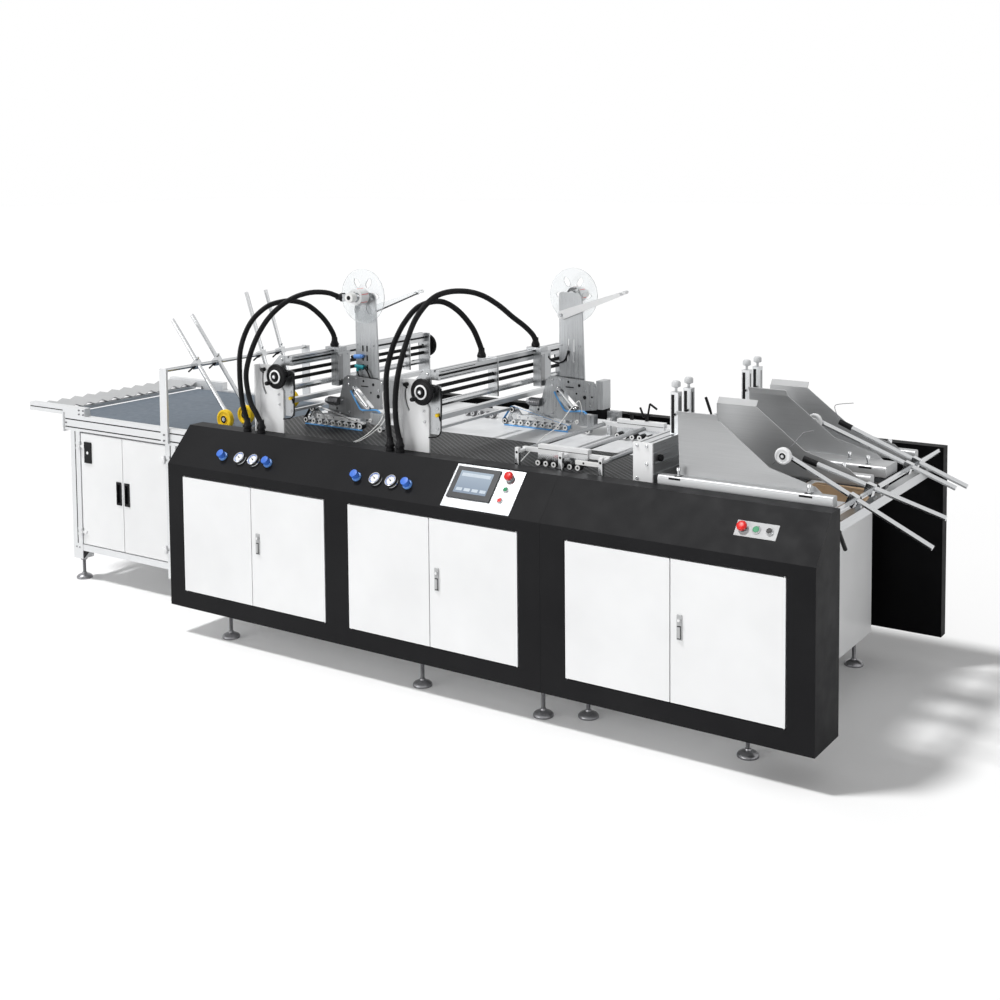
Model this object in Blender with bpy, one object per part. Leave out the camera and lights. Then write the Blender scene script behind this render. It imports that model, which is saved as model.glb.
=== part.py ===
"""Tape applicator machine: outfeed table, console with two taping gantries, and feeder.

X runs along the machine from outfeed to feeder, Y from front to rear, Z up from the floor.
Lengths are in metres. Positions are measured from the console's left end, front face and
the floor, and the empty named machine moves the whole model so that the origin lies under
one of the console's levelling feet.
"""
import math

import bmesh
import bpy
from mathutils import Matrix, Vector

# Clearances
GAP = 0.0003
RUNNING_GAP = 0.005

# Console covers
SEAM_X = 2.130
RIGHT_COVER = 1.160
BODY_LENGTH = SEAM_X + RIGHT_COVER
BODY_BOTTOM = 0.140
FOLD_Z = 0.836
TOP_Z = 1.000
SLOPE_DEPTH = 0.150
BODY_DEPTH = 0.236
SHEET = 0.003
FLANGE = 0.030
RIM_WALL = 0.004
RIM_DEPTH = 0.025

# Console doors
DOOR_BOTTOM = 0.220
DOOR_TOP = 0.786
DOOR_PAIRS = ((0.095, 0.995), (1.125, 2.025), (SEAM_X + 0.113, SEAM_X + 1.051))
DOOR_THICK = 0.018
DOOR_SHEET = 0.002
PIVOT_INSET = 0.006
PIVOT_RADIUS = 0.003
LATCH_SIZE = (0.020, 0.095)
LATCH_OFFSET = 0.041
LATCH_Z = 0.523
LATCH_PROUD = 0.003

# Cabinets and deck behind the covers
CABINET_END_X = SEAM_X + 0.875
CABINET_REAR_Y = 1.415
CABINET_WALL = 0.004
TRAY_RIM = 0.060
DECK_TOP = 0.990
DECK_THICK = 0.006
DECK_LEFT_X = 0.270
DROP_EDGE_Z = 0.900
FEET_LEFT = (0.301, 1.457, 2.080)
FEET_RIGHT = (SEAM_X + 0.112, SEAM_X + 0.819)
FOOT_FRONT_Y = 0.100
FOOT_RIGHT_Y = 0.190
FOOT_REAR_Y = 1.350
FOOT_RADIUS = 0.042
STEM_RADIUS = 0.008
NUT_RADIUS = 0.015

# Rear cover
REAR_INNER_Y = 1.518
REAR_THICK = 0.060
REAR_PANEL_RECESS = 0.004
REAR_BRACKET = 0.060

# Operator panels on the slope
HMI_LEFT_X = 1.633
HMI_HEIGHT = 0.206
HMI_BEZEL = (0.217, 0.149)
HMI_BEZEL_INSET = 0.013
HMI_BEZEL_PROUD = 0.008
HMI_BUTTON_STRIP = 0.115
HMI_X = (HMI_LEFT_X, HMI_LEFT_X + HMI_BEZEL_INSET + HMI_BEZEL[0] + HMI_BUTTON_STRIP)
HMI_BUTTONS = ((0.066, 0.068, 0.020, 0.026), (0.061, 0.010, 0.011, 0.010), (0.068, -0.042, 0.011, 0.010))
CONTROL_WIDTH = 0.166
CONTROL_X = (SEAM_X + 0.818, SEAM_X + 0.818 + CONTROL_WIDTH)
CONTROL_HEIGHT = 0.064
CONTROL_BUTTONS = ((0.138, 0.002, 0.020, 0.024), (0.083, 0.0, 0.015, 0.010), (0.030, 0.0, 0.013, 0.014))
CONTROL_SLOPE_POS = 0.110
PANEL_SHEET = 0.002
AIR_UNITS = ((0.326, 0.438, 0.525, 0.612),
             (HMI_LEFT_X - 0.489, HMI_LEFT_X - 0.380, HMI_LEFT_X - 0.291, HMI_LEFT_X - 0.206))
AIR_SLOPE_POS = 0.078
AIR_STEM_RADIUS = 0.008
KNOB_RADIUS = 0.021
KNOB_HEIGHT = 0.036
GAUGE_RADIUS = 0.026
GAUGE_HEIGHT = 0.020
MANIFOLD_DEPTH = 0.030

# Outfeed table
TABLE_LEFT_X = -1.130
TABLE_RAIL_LEFT_X = -1.180
TABLE_FRONT_Y = 0.336
TABLE_REAR_Y = 1.419
TABLE_LEG = 0.075
TABLE_RIGHT_LEG_X = -0.384
RAIL_WIDTH = 0.040
RAIL_BOTTOM = 0.828
RAIL_TOP = 0.912
LEG_BOTTOM = 0.118
LOWER_BEAM = (0.165, 0.200)
EXTENSION_TIP_X = -1.470
EXTENSION_END_X = -1.010
EXTENSION_TOP = 0.956
BELT_TOP = 0.905
BELT_THICK = 0.003
BELT_HEIGHT = 0.051
BELT_LEFT_X = -1.230
BELT_RIGHT_X = -0.030
BELT_EDGE = 0.010
TRAY_FLUTES = 11
TRAY_Z = 0.934
TRAY_WAVE = 0.009
TRAY_SHEET = 0.002
TRAY_STEPS = 4
TABLE_DOOR_THICK = 0.018
TABLE_DOOR_Y = 0.340
BARREL_RADIUS = 0.006
BARREL_LENGTH = 0.014
TABLE_HINGE_Z = (0.272, 0.748)
HANDLE_SIZE = (0.038, 0.125)
HANDLE_Z = 0.520

# Press rods over the outfeed belt
POST_X = (-0.402, -0.350)
POST_THICK = 0.012
POST_BOTTOM = 0.835
CROSSBAR_Z = 1.215
CROSSBAR_RADIUS = 0.010
ROD_RADIUS = 0.011
ROD_OFFSET = 0.022
CLAMP_SIZE = 0.034
CLAMP_WIDTH = ROD_OFFSET + CROSSBAR_RADIUS + ROD_RADIUS + 0.004
PRESS_RODS = ((0.555, 50.4, 0.287), (0.705, 50.4, 0.300), (1.045, 71.0, 0.357), (1.200, 71.0, 0.357))
WHEEL_RADIUS = 0.050
WHEEL_WIDTH = 0.028
WHEEL_SIDE = 0.030
AXLE_RADIUS = 0.005

# Gantries
GANTRY_X = (0.0, 0.862)
BRACKET_X = (0.395, 0.550)
BRACKET_SHEET = 0.008
BRACKET_PLATE_Y = (BODY_DEPTH - BRACKET_SHEET, BODY_DEPTH)
BRACKET_FLANGE_Y = BODY_DEPTH - 0.040
BRACKET_SHOULDER = TOP_Z + 0.201
BRACKET_TOP = BRACKET_SHOULDER + 0.121
SLOT_CENTRE = (0.545, BRACKET_SHOULDER + 0.049)
SLOT_RADIUS = 0.125
SLOT_WIDTH = 0.010
SLOT_ANGLES = (162.0, 214.0)
END_PLATE = 0.010
FAR_PLATE_Y = CABINET_REAR_Y - 0.125
RAIL_SIDE = 0.045
GANTRY_RAIL_X = 0.556
GANTRY_TOP = TOP_Z + 0.370
ROUND_RAILS = ((GANTRY_TOP - 0.075, 0.009), (GANTRY_TOP - 0.108, 0.009), (GANTRY_TOP - 0.152, 0.015))
LOWER_RAIL_Z = (GANTRY_TOP - 0.224, GANTRY_TOP - 0.202)
FRONT_RAIL = (0.530, 0.545, GANTRY_TOP - 0.280, GANTRY_TOP - 0.268)
NEAR_PLATE_BOTTOM = GANTRY_TOP - 0.285
MID_PLATE_Y = (1.140, 0.690)
HANDWHEEL_XZ = (0.537, GANTRY_TOP - 0.095)
REAR_HANDWHEEL_XZ = (0.580, GANTRY_TOP - 0.070)
HANDWHEEL_RADIUS = 0.060
HANDWHEEL_STANDOFF = 0.040
HANDWHEEL_SIDES = 14
HANDLE_ANGLE = math.radians(130)
SHAFT_RADIUS = 0.010

# Taping heads
HEAD_Y = (0.515, 1.000)
REEL_SIDE = (-1, 1)
ARM_PLATE_X = (0.725, 0.850)
ARM_OFFSET = 0.045
ARM_Y = (HEAD_Y[0] + ARM_OFFSET, HEAD_Y[1] + ARM_OFFSET)
ARM_PLATE_TOP = GANTRY_TOP + 0.285
ARM_PLATE_BOTTOM = GANTRY_TOP - 0.170
HEAD_PLATE = 0.010
REEL_XZ = (0.790, ARM_PLATE_TOP - 0.015)
REEL_RADIUS = 0.132
REEL_HUB_RADIUS = 0.038
REEL_HUB_LENGTH = 0.060
REEL_DISC = 0.003
REEL_PETALS = 6
PRESS_ROLLERS = 8
ROLLER_PITCH = 0.042
ROLLER_RADIUS = 0.014
ROLLER_FIRST_X = 0.496
ROLLER_SLACK = 0.0006
NOSE_RADIUS = 0.016
NOSE_LOW = (0.446, DECK_TOP + 0.023)
NOSE_HIGH = (0.488, DECK_TOP + 0.082)
PRESS_BELT_THICK = 0.002
PRESS_BELT_WIDTH = 0.028
REEL_CAP_Y = 0.451
TENSION_PIVOT = (0.745, ARM_PLATE_TOP - 0.110)
TENSION_TIP = (1.100, ARM_PLATE_TOP + 0.017)
TENSION_PIN_RADIUS = 0.007

# Conduits: points on each route, chosen by hand, from the gland on the cover to the far end
CONDUIT_RADIUS = 0.013
CONDUIT_STEP = 0.055
GLAND_Y = SLOPE_DEPTH + 0.025
GLAND_RADIUS = 0.020
GLAND_HEIGHT = 0.018
SADDLE_THICK = 0.012
GLAND_TOP = TOP_Z + GLAND_HEIGHT + GAP
SADDLE_TOP = GANTRY_TOP + SADDLE_THICK + GAP
CAP_FITTING = 0.042
RAIL_GLAND_Y = 0.600
CONDUIT_ROUTES = (
    ((0.365, GLAND_Y, GLAND_TOP), (0.365, GLAND_Y, 1.045), (0.334, 0.175, 1.142), (0.316, 0.180, 1.280),
     (0.319, 0.190, 1.402), (0.346, 0.230, 1.516), (0.395, 0.290, 1.590), (0.445, 0.350, 1.614),
     (0.482, 0.400, 1.612), (0.522, 0.455, 1.586), (0.560, 0.515, 1.521), (0.585, 0.552, 1.450),
     (0.590, ARM_Y[0], 1.410), (0.590, ARM_Y[0], SADDLE_TOP)),
    ((0.455, GLAND_Y, GLAND_TOP), (0.455, GLAND_Y, 1.045), (0.425, 0.175, 1.090), (0.386, 0.175, 1.150),
     (0.358, 0.180, 1.267), (0.381, 0.190, 1.376), (0.427, 0.210, 1.484), (0.482, 0.240, 1.568),
     (0.550, 0.290, 1.634), (0.618, 0.348, 1.664), (0.673, 0.412, 1.662), (0.722, REEL_CAP_Y, REEL_XZ[1]),
     (REEL_XZ[0] - CAP_FITTING - GAP, REEL_CAP_Y, REEL_XZ[1])),
    ((1.235, GLAND_Y, GLAND_TOP), (1.235, GLAND_Y, 1.045), (1.225, 0.175, 1.130), (1.215, 0.178, 1.260),
     (1.212, 0.187, 1.349), (1.219, 0.205, 1.423), (1.231, 0.228, 1.490), (1.261, 0.262, 1.571),
     (1.303, 0.312, 1.637), (1.356, 0.395, 1.655), (1.402, 0.465, 1.612), (1.432, 0.537, 1.528),
     (1.4405, 0.585, 1.445), (1.4405, RAIL_GLAND_Y, 1.410), (1.4405, RAIL_GLAND_Y, SADDLE_TOP)),
    ((1.290, GLAND_Y, GLAND_TOP), (1.290, GLAND_Y, 1.045), (1.270, 0.175, 1.140), (1.266, 0.180, 1.260),
     (1.288, 0.183, 1.380), (1.320, 0.195, 1.492), (1.341, 0.238, 1.593), (1.360, 0.320, 1.667),
     (1.374, 0.415, 1.694), (1.388, 0.545, 1.690), (1.405, 0.660, 1.662), (1.421, 0.770, 1.608),
     (1.436, 0.870, 1.542), (1.446, 0.960, 1.488), (1.451, 1.024, 1.440), (1.452, ARM_Y[1], 1.405),
     (1.452, ARM_Y[1], SADDLE_TOP)),
)

# Feeder
GUIDE_Y = (BODY_DEPTH + 0.060, BODY_DEPTH + 0.419, BODY_DEPTH + 0.750, BODY_DEPTH + 0.979)
GUIDE_SHEET = 0.004
GUIDE_BAR_X = (SEAM_X + 0.400, SEAM_X + 1.125)
GUIDE_BAR_TOP = DECK_TOP + 0.044
GUIDE_BARS = (-0.046, 0.046, -0.140, 0.046)
GUIDE_HEIGHT = 0.275
GUIDE_OUTLINE = ((0.076, 0.004), (0.066, GUIDE_HEIGHT), (0.245, GUIDE_HEIGHT), (0.455, GUIDE_HEIGHT - 0.161),
                 (0.639, 0.063), (0.705, 0.010))
GUIDE_LIP = (0.018, 0.026)
BEAM_X = (SEAM_X + 0.300, SEAM_X + 0.380)
BEAM_TOP = DECK_TOP + 0.165
BEAM_END_SHEET = 0.008
BEAM_END_X = (BEAM_X[0] - 0.005, BEAM_X[1] + 0.002)
BEAM_END_Y = BODY_DEPTH + 0.004
BEAM_Y = (BEAM_END_Y + BEAM_END_SHEET, CABINET_REAR_Y - 0.008)
COLUMN_Y = (BODY_DEPTH + 0.252, BODY_DEPTH + 0.369, BODY_DEPTH + 0.959, BODY_DEPTH + 1.079)
COLUMN_SIZE = 0.036
COLUMN_HEIGHT = 0.174
COLUMN_KNOB_RADIUS = 0.020
ROD_SHAFT = (SEAM_X + 1.142, DECK_TOP - 0.005)
SUPPORT_RODS = ((BODY_DEPTH + 0.164, 26.4, 0.303, 0.335), (BODY_DEPTH + 0.364, 16.3, 0.287, 0.305),
                (BODY_DEPTH + 0.824, 20.6, 0.428, 0.209), (BODY_DEPTH + 0.924, 21.7, 0.362, 0.230))
SUPPORT_WHEEL_RADIUS = 0.033
SUPPORT_WHEEL_WIDTH = 0.022
FEED_SHAFT_X = (SEAM_X + 0.915, SEAM_X + 1.098)
FEED_PULLEY_RADIUS = 0.028
FEED_SHAFT_Z = DECK_TOP - FEED_PULLEY_RADIUS - 0.0035
FEED_BELT_Y = (BODY_DEPTH + 0.391, BODY_DEPTH + 0.628)
FEED_BELT_WIDTH = 0.040
INFEED_BEAM = (SEAM_X + 1.075, SEAM_X + 1.115, TOP_Z - 0.125, TOP_Z - 0.085)

# Register guides: two bars with hold-down rollers on cross tubes, left of the crossbeam
REGISTER_BAR_X = (SEAM_X - 0.195, SEAM_X + 0.050)
REGISTER_Y = (BODY_DEPTH + 0.064, BODY_DEPTH + 0.749)
REGISTER_BAR = (0.030, 0.040)
REGISTER_BAR_Z = DECK_TOP + 0.053
REGISTER_ROLLERS = 6
REGISTER_PITCH = 0.039
REGISTER_RADIUS = 0.0145
REGISTER_TUBES = (SEAM_X - 0.268, SEAM_X - 0.052, SEAM_X + 0.140)
REGISTER_TUBE_RADIUS = 0.010
REGISTER_TUBE_Z = DECK_TOP + 0.060
REGISTER_POST = 0.018

ORIGIN_FOOT = 1
PART_COLOURS = {
    "black": ((0.030, 0.030, 0.032), 0.45, 0.0),
    "white": ((0.86, 0.87, 0.88), 0.40, 0.0),
    "steel": ((0.62, 0.63, 0.64), 0.32, 1.0),
    "aluminium": ((0.78, 0.79, 0.80), 0.38, 1.0),
    "belt": ((0.22, 0.27, 0.32), 0.70, 0.0),
    "deck": ((0.10, 0.10, 0.105), 0.50, 0.3),
    "yellow": ((0.95, 0.68, 0.03), 0.50, 0.0),
    "blue": ((0.20, 0.48, 0.85), 0.55, 0.0),
    "clear": ((0.88, 0.90, 0.92), 0.10, 0.0),
    "rubber": ((0.025, 0.025, 0.027), 0.65, 0.0),
}


def start_empty_scene():
    for old in list(bpy.data.objects):
        bpy.data.objects.remove(old, do_unlink=True)


def finish_shape(bm):
    bmesh.ops.recalc_face_normals(bm, faces=bm.faces)
    return bm


def box(x0, x1, y0, y1, z0, z1):
    bm = bmesh.new()
    bmesh.ops.create_cube(bm, size=1.0)
    for vert in bm.verts:
        vert.co.x = x0 if vert.co.x < 0 else x1
        vert.co.y = y0 if vert.co.y < 0 else y1
        vert.co.z = z0 if vert.co.z < 0 else z1
    return finish_shape(bm)


def prism(outline, axis, start, end):
    """Extrude a closed outline along an axis; the outline holds the other two coordinates."""
    order = {"X": (2, 0, 1), "Y": (0, 2, 1), "Z": (0, 1, 2)}[axis]
    bm = bmesh.new()
    rings = []
    for level in (start, end):
        ring = []
        for first, second in outline:
            values = (first, second, level)
            ring.append(bm.verts.new([values[i] for i in order]))
        rings.append(ring)
    bm.faces.new(rings[0])
    bm.faces.new(list(reversed(rings[1])))
    count = len(outline)
    for i in range(count):
        j = (i + 1) % count
        bm.faces.new((rings[0][i], rings[1][i], rings[1][j], rings[0][j]))
    return finish_shape(bm)


def turned(profile, sides, matrix=None):
    """Revolve (radius, height) points about Z; points on the axis close the ends."""
    bm = bmesh.new()
    rings = []
    for radius, height in profile:
        if radius < 1e-6:
            rings.append([bm.verts.new((0.0, 0.0, height))])
            continue
        ring = []
        for i in range(sides):
            angle = 2 * math.pi * i / sides
            ring.append(bm.verts.new((radius * math.cos(angle), radius * math.sin(angle), height)))
        rings.append(ring)
    closed = profile[0][0] > 1e-6
    pairs = list(zip(rings, rings[1:]))
    if closed:
        pairs.append((rings[-1], rings[0]))
    for low, high in pairs:
        for i in range(sides):
            j = (i + 1) % sides
            if len(low) == 1 and len(high) == 1:
                continue
            if len(low) == 1:
                bm.faces.new((low[0], high[j], high[i]))
            elif len(high) == 1:
                bm.faces.new((low[i], low[j], high[0]))
            else:
                bm.faces.new((low[i], low[j], high[j], high[i]))
    finish_shape(bm)
    if matrix is not None:
        bm.transform(matrix)
    return bm


def along(start, end):
    """Matrix that takes the Z axis to the line from start to end, with its origin at start."""
    start = Vector(start)
    direction = (Vector(end) - start).normalized()
    return Matrix.Translation(start) @ direction.to_track_quat("Z", "Y").to_matrix().to_4x4()


def rod(start, end, radius, sides=8):
    length = (Vector(end) - Vector(start)).length
    return turned(((0, 0), (radius, 0), (radius, length), (0, length)), sides, along(start, end))


def bore_radius(radius, sides):
    """Corner radius of a bore whose flats clear a shaft that turns in it."""
    return (radius + GAP) / math.cos(math.pi / sides)


def block_along(start, end, width, depth):
    """A rectangular bar between two points; depth runs along Y."""
    length = (Vector(end) - Vector(start)).length
    shape = box(-width / 2, width / 2, -depth / 2, depth / 2, 0, length)
    start = Vector(start)
    direction = (Vector(end) - start).normalized()
    side = Vector((0, 1, 0)).cross(direction).normalized()
    across = direction.cross(side)
    frame = Matrix((side, across, direction)).transposed().to_4x4()
    shape.transform(Matrix.Translation(start) @ frame)
    return finish_shape(shape)


def group(*shapes):
    """Join shapes that don't touch, so that one Boolean can use them together."""
    joined = bmesh.new()
    for shape in shapes:
        mesh = bpy.data.meshes.new("group")
        shape.to_mesh(mesh)
        joined.from_mesh(mesh)
        bpy.data.meshes.remove(mesh)
    return joined


def as_object(name, bm):
    mesh = bpy.data.meshes.new(name)
    bm.to_mesh(mesh)
    bm.free()
    obj = bpy.data.objects.new(name, mesh)
    bpy.context.scene.collection.objects.link(obj)
    return obj


def combine(base, bm, operation):
    """Apply one exact Boolean to the object and remove the tool shape."""
    tool = as_object("tool", bm)
    modifier = base.modifiers.new("Boolean", "BOOLEAN")
    modifier.operation = operation
    modifier.solver = "EXACT"
    modifier.object = tool
    graph = bpy.context.evaluated_depsgraph_get()
    graph.update()
    result = bpy.data.meshes.new_from_object(base.evaluated_get(graph))
    base.modifiers.remove(modifier)
    old = base.data
    base.data = result
    bpy.data.meshes.remove(old)
    tool_mesh = tool.data
    bpy.data.objects.remove(tool, do_unlink=True)
    bpy.data.meshes.remove(tool_mesh)


def clean(mesh):
    bm = bmesh.new()
    bm.from_mesh(mesh)
    bmesh.ops.remove_doubles(bm, verts=bm.verts, dist=1e-6)
    finish_shape(bm)
    bm.to_mesh(mesh)
    bm.free()


def piece(name, colour, adds, cuts=(), smooth=None):
    """Make one named sub-part from the shapes it is joined from and those cut out of it."""
    obj = as_object(name, adds[0])
    for shape in adds[1:]:
        combine(obj, shape, "UNION")
    for shape in cuts:
        combine(obj, shape, "DIFFERENCE")
    if len(adds) > 1 or len(cuts) > 0:
        clean(obj.data)
    obj.data.name = name
    finish_object(obj, colour)
    if smooth is not None:
        obj.data.shade_smooth()
        obj.data.set_sharp_from_angle(angle=math.radians(smooth))
    return obj


def finish_object(obj, colour):
    tone, roughness, metallic = PART_COLOURS[colour]
    material = bpy.data.materials.new(obj.name)
    material.use_nodes = True
    shader = material.node_tree.nodes["Principled BSDF"]
    shader.inputs["Base Color"].default_value = (*tone, 1.0)
    shader.inputs["Roughness"].default_value = roughness
    shader.inputs["Metallic"].default_value = metallic
    obj.data.materials.clear()
    obj.data.materials.append(material)
    obj.parent = bpy.data.objects["machine"]


def set_origin(obj, point):
    """Put the object's origin on a joint axis without moving its shape."""
    obj.data.transform(Matrix.Translation(-Vector(point)))
    obj.location = point


def arc(centre, radius, start, end, steps):
    """Points on an arc, with angles in degrees, from start to end."""
    points = []
    for i in range(steps + 1):
        angle = math.radians(start + (end - start) * i / steps)
        points.append((centre[0] + radius * math.cos(angle), centre[1] + radius * math.sin(angle)))
    return points


def offset_path(points, distance):
    """Shift an open path to its right by a distance, with mitred corners."""
    normals = []
    for (a0, b0), (a1, b1) in zip(points, points[1:]):
        length = math.hypot(a1 - a0, b1 - b0)
        normals.append(((b1 - b0) / length, -(a1 - a0) / length))
    shifted = []
    for i, (a, b) in enumerate(points):
        before = normals[max(i - 1, 0)]
        after = normals[min(i, len(normals) - 1)]
        mitre = 1 + before[0] * after[0] + before[1] * after[1]
        shifted.append((a + distance * (before[0] + after[0]) / mitre,
                        b + distance * (before[1] + after[1]) / mitre))
    return shifted


def folded(points, thickness):
    """Outline of a folded sheet that follows an open path."""
    return list(points) + list(reversed(offset_path(points, thickness)))


def foot(x, y, top):
    """A levelling foot: pad, threaded stem and a lock nut against the frame."""
    profile = ((0, 0), (FOOT_RADIUS, 0), (FOOT_RADIUS, 0.009), (STEM_RADIUS, 0.026),
               (STEM_RADIUS, top - 0.014), (NUT_RADIUS, top - 0.014), (NUT_RADIUS, top + 0.002),
               (0, top + 0.002))
    return turned(profile, 8, Matrix.Translation((x, y, 0)))


def loop_outline(x0, x1, z0, z1, steps=6):
    """Stadium outline: a belt's path round two equal pulleys."""
    radius = (z1 - z0) / 2
    middle = (z0 + z1) / 2
    left = arc((x0 + radius, middle), radius, 90, 270, steps)
    right = arc((x1 - radius, middle), radius, -90, 90, steps)
    return left + right


# Console

SLOPE_RISE = TOP_Z - FOLD_Z
SLOPE_ANGLE = math.atan2(SLOPE_RISE, SLOPE_DEPTH)
COVER_PATH = ((FLANGE, BODY_BOTTOM), (0.0, BODY_BOTTOM), (0.0, FOLD_Z), (SLOPE_DEPTH, TOP_Z),
              (BODY_DEPTH, TOP_Z), (BODY_DEPTH, TOP_Z - FLANGE))
DECK_BOTTOM = DECK_TOP - DECK_THICK


def slope_point(x, distance):
    """A point on the slope's outer face, a distance up from the front fold."""
    return Vector((x, distance * math.cos(SLOPE_ANGLE), FOLD_Z + distance * math.sin(SLOPE_ANGLE)))


def slope_matrix(x, distance):
    return Matrix.Translation(slope_point(x, distance)) @ Matrix.Rotation(SLOPE_ANGLE, 4, "X")


def front_cover(name, x0, x1, left_end, right_end, glands):
    adds = [prism(folded(COVER_PATH, SHEET), "X", x0, x1)]
    wall = ((0.0, BODY_BOTTOM), (0.0, FOLD_Z), (SLOPE_DEPTH, TOP_Z), (BODY_DEPTH, TOP_Z),
            (BODY_DEPTH, BODY_BOTTOM))
    if left_end:
        adds.append(prism(wall, "X", x0, x0 + SHEET))
    if right_end:
        adds.append(prism(wall, "X", x1 - SHEET, x1))
        adds.append(box(CABINET_END_X + GAP, x1, BODY_DEPTH - SHEET, BODY_DEPTH,
                        BODY_BOTTOM, TOP_Z - FLANGE / 2))
    openings = []
    for left, right in DOOR_PAIRS:
        if x0 < left and right < x1:
            adds.append(box(left - RIM_WALL, right + RIM_WALL, SHEET / 2, RIM_DEPTH,
                            DOOR_BOTTOM - RIM_WALL, DOOR_TOP + RIM_WALL))
            openings.append(box(left, right, -SHEET, RIM_DEPTH * 2, DOOR_BOTTOM, DOOR_TOP))
    for x, y in glands:
        adds.append(turned(((0, -SHEET / 2), (GLAND_RADIUS, -SHEET / 2), (GLAND_RADIUS, GLAND_HEIGHT * 0.6),
                            (GLAND_RADIUS * 0.8, GLAND_HEIGHT), (0, GLAND_HEIGHT)), 10,
                           Matrix.Translation((x, y, TOP_Z))))
    holes = []
    for unit in AIR_UNITS:
        for x in unit:
            if x0 < x < x1:
                holes.append(turned(((0, -0.02), (AIR_STEM_RADIUS + GAP, -0.02),
                                     (AIR_STEM_RADIUS + GAP, 0.02), (0, 0.02)), 8,
                                    slope_matrix(x, AIR_SLOPE_POS)))
    cuts = [group(*openings)]
    if holes:
        cuts.append(group(*holes))
    return piece(name, "black", adds, cuts)


def console_door(name, hinge_x, free_x, latch):
    """A folded pan that turns on pins at its outer edge; free_x is the seam between leaves."""
    side = 1 if free_x > hinge_x else -1
    edge = hinge_x + side * RUNNING_GAP
    seam = free_x - side * RUNNING_GAP / 2
    low, high = min(edge, seam), max(edge, seam)
    z0 = DOOR_BOTTOM + RUNNING_GAP
    z1 = DOOR_TOP - RUNNING_GAP
    axis_x = edge + side * PIVOT_INSET
    adds = [box(low, high, 0.0, DOOR_THICK, z0, z1)]
    for z, tip in ((z1 - DOOR_SHEET / 2, DOOR_TOP - GAP), (z0 + DOOR_SHEET / 2, DOOR_BOTTOM + GAP)):
        adds.append(rod((axis_x, PIVOT_INSET, z), (axis_x, PIVOT_INSET, tip), PIVOT_RADIUS))
    if latch:
        x = free_x + LATCH_OFFSET
        adds.append(box(x - LATCH_SIZE[0] / 2, x + LATCH_SIZE[0] / 2, -LATCH_PROUD, DOOR_SHEET / 2,
                        LATCH_Z - LATCH_SIZE[1] / 2, LATCH_Z + LATCH_SIZE[1] / 2))
        key = (x, -LATCH_PROUD - 0.008, LATCH_Z + LATCH_SIZE[1] * 0.3)
        adds.append(rod((x, 0.0, key[2]), key, 0.006))
    pan = box(low + DOOR_SHEET, high - DOOR_SHEET, DOOR_SHEET, DOOR_THICK * 2,
              z0 + DOOR_SHEET, z1 - DOOR_SHEET)
    door = piece(name, "white", adds, [pan])
    set_origin(door, (axis_x, PIVOT_INSET, (z0 + z1) / 2))
    return door


def cabinet(name, x0, x1, feet, front_y, left_top=DECK_TOP):
    bottom = BODY_BOTTOM + SHEET + GAP
    adds = [box(x0, x1, BODY_DEPTH + 0.004, CABINET_REAR_Y, bottom, DECK_BOTTOM - GAP),
            box(x0, x1, SHEET + GAP, BODY_DEPTH + 0.010, bottom, bottom + TRAY_RIM)]
    cuts = [box(x0 + CABINET_WALL, x1 - CABINET_WALL, BODY_DEPTH, CABINET_REAR_Y - CABINET_WALL,
                bottom + CABINET_WALL, DECK_TOP),
            box(x0 + CABINET_WALL, x1 - CABINET_WALL, SHEET + GAP + CABINET_WALL, BODY_DEPTH + 0.012,
                bottom + CABINET_WALL, bottom + TRAY_RIM * 2)]
    if left_top < DECK_TOP:
        cuts.append(box(x0 - SHEET, x0 + CABINET_WALL + SHEET, BODY_DEPTH + TRAY_RIM,
                        CABINET_REAR_Y - TRAY_RIM, left_top, DECK_TOP))
    for x in feet:
        adds.append(foot(x, front_y, bottom))
        adds.append(foot(x, FOOT_REAR_Y, bottom))
    return piece(name, "white", adds, cuts)


def deck(name, x0, x1):
    return piece(name, "deck", [box(x0, x1, BODY_DEPTH + GAP, CABINET_REAR_Y, DECK_BOTTOM, DECK_TOP)])


def rear_cover():
    outer = REAR_INNER_Y + REAR_THICK
    adds = [box(0.0, BODY_LENGTH, REAR_INNER_Y, outer, BODY_BOTTOM, TOP_Z)]
    brackets = []
    half = REAR_BRACKET / 2
    for x in (0.25, 1.85, 2.35, 2.85):
        for z in (0.32, 0.86):
            brackets.append(box(x - half, x + half, CABINET_REAR_Y + GAP, REAR_INNER_Y + SHEET,
                                z - half, z + half))
    adds.append(group(*brackets))
    fields = [box(left, right, outer - REAR_PANEL_RECESS, outer + SHEET, DOOR_BOTTOM, DOOR_TOP)
              for left, right in DOOR_PAIRS]
    return piece("rear_cover", "black", adds, [group(*fields)])


def slope_panel(name, x_range, centre, height, extras):
    """A steel plate flat on the slope; its buttons are placed from its right edge."""
    middle = (x_range[0] + x_range[1]) / 2
    half = (x_range[1] - x_range[0]) / 2
    adds = [box(-half, half, -height / 2, height / 2, GAP, GAP + PANEL_SHEET)]
    for inset, up, radius, tall in extras:
        base = GAP + PANEL_SHEET / 2
        profile = ((0, base), (radius * 0.75, base), (radius * 0.75, tall * 0.5), (radius, tall * 0.55),
                   (radius, tall * 0.85), (radius * 0.8, tall), (0, tall))
        adds.append(turned(profile, 10, Matrix.Translation((half - inset, up, 0))))
    if name == "hmi_panel":
        width, tall = HMI_BEZEL
        left = -half + HMI_BEZEL_INSET
        top = height / 2 - HMI_BEZEL_INSET
        adds.append(box(left, left + width, top - tall, top, GAP + PANEL_SHEET / 2, HMI_BEZEL_PROUD))
    panel = piece(name, "steel", adds)
    panel.location = slope_point(middle, centre)
    panel.rotation_euler = (SLOPE_ANGLE, 0, 0)
    return panel


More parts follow.
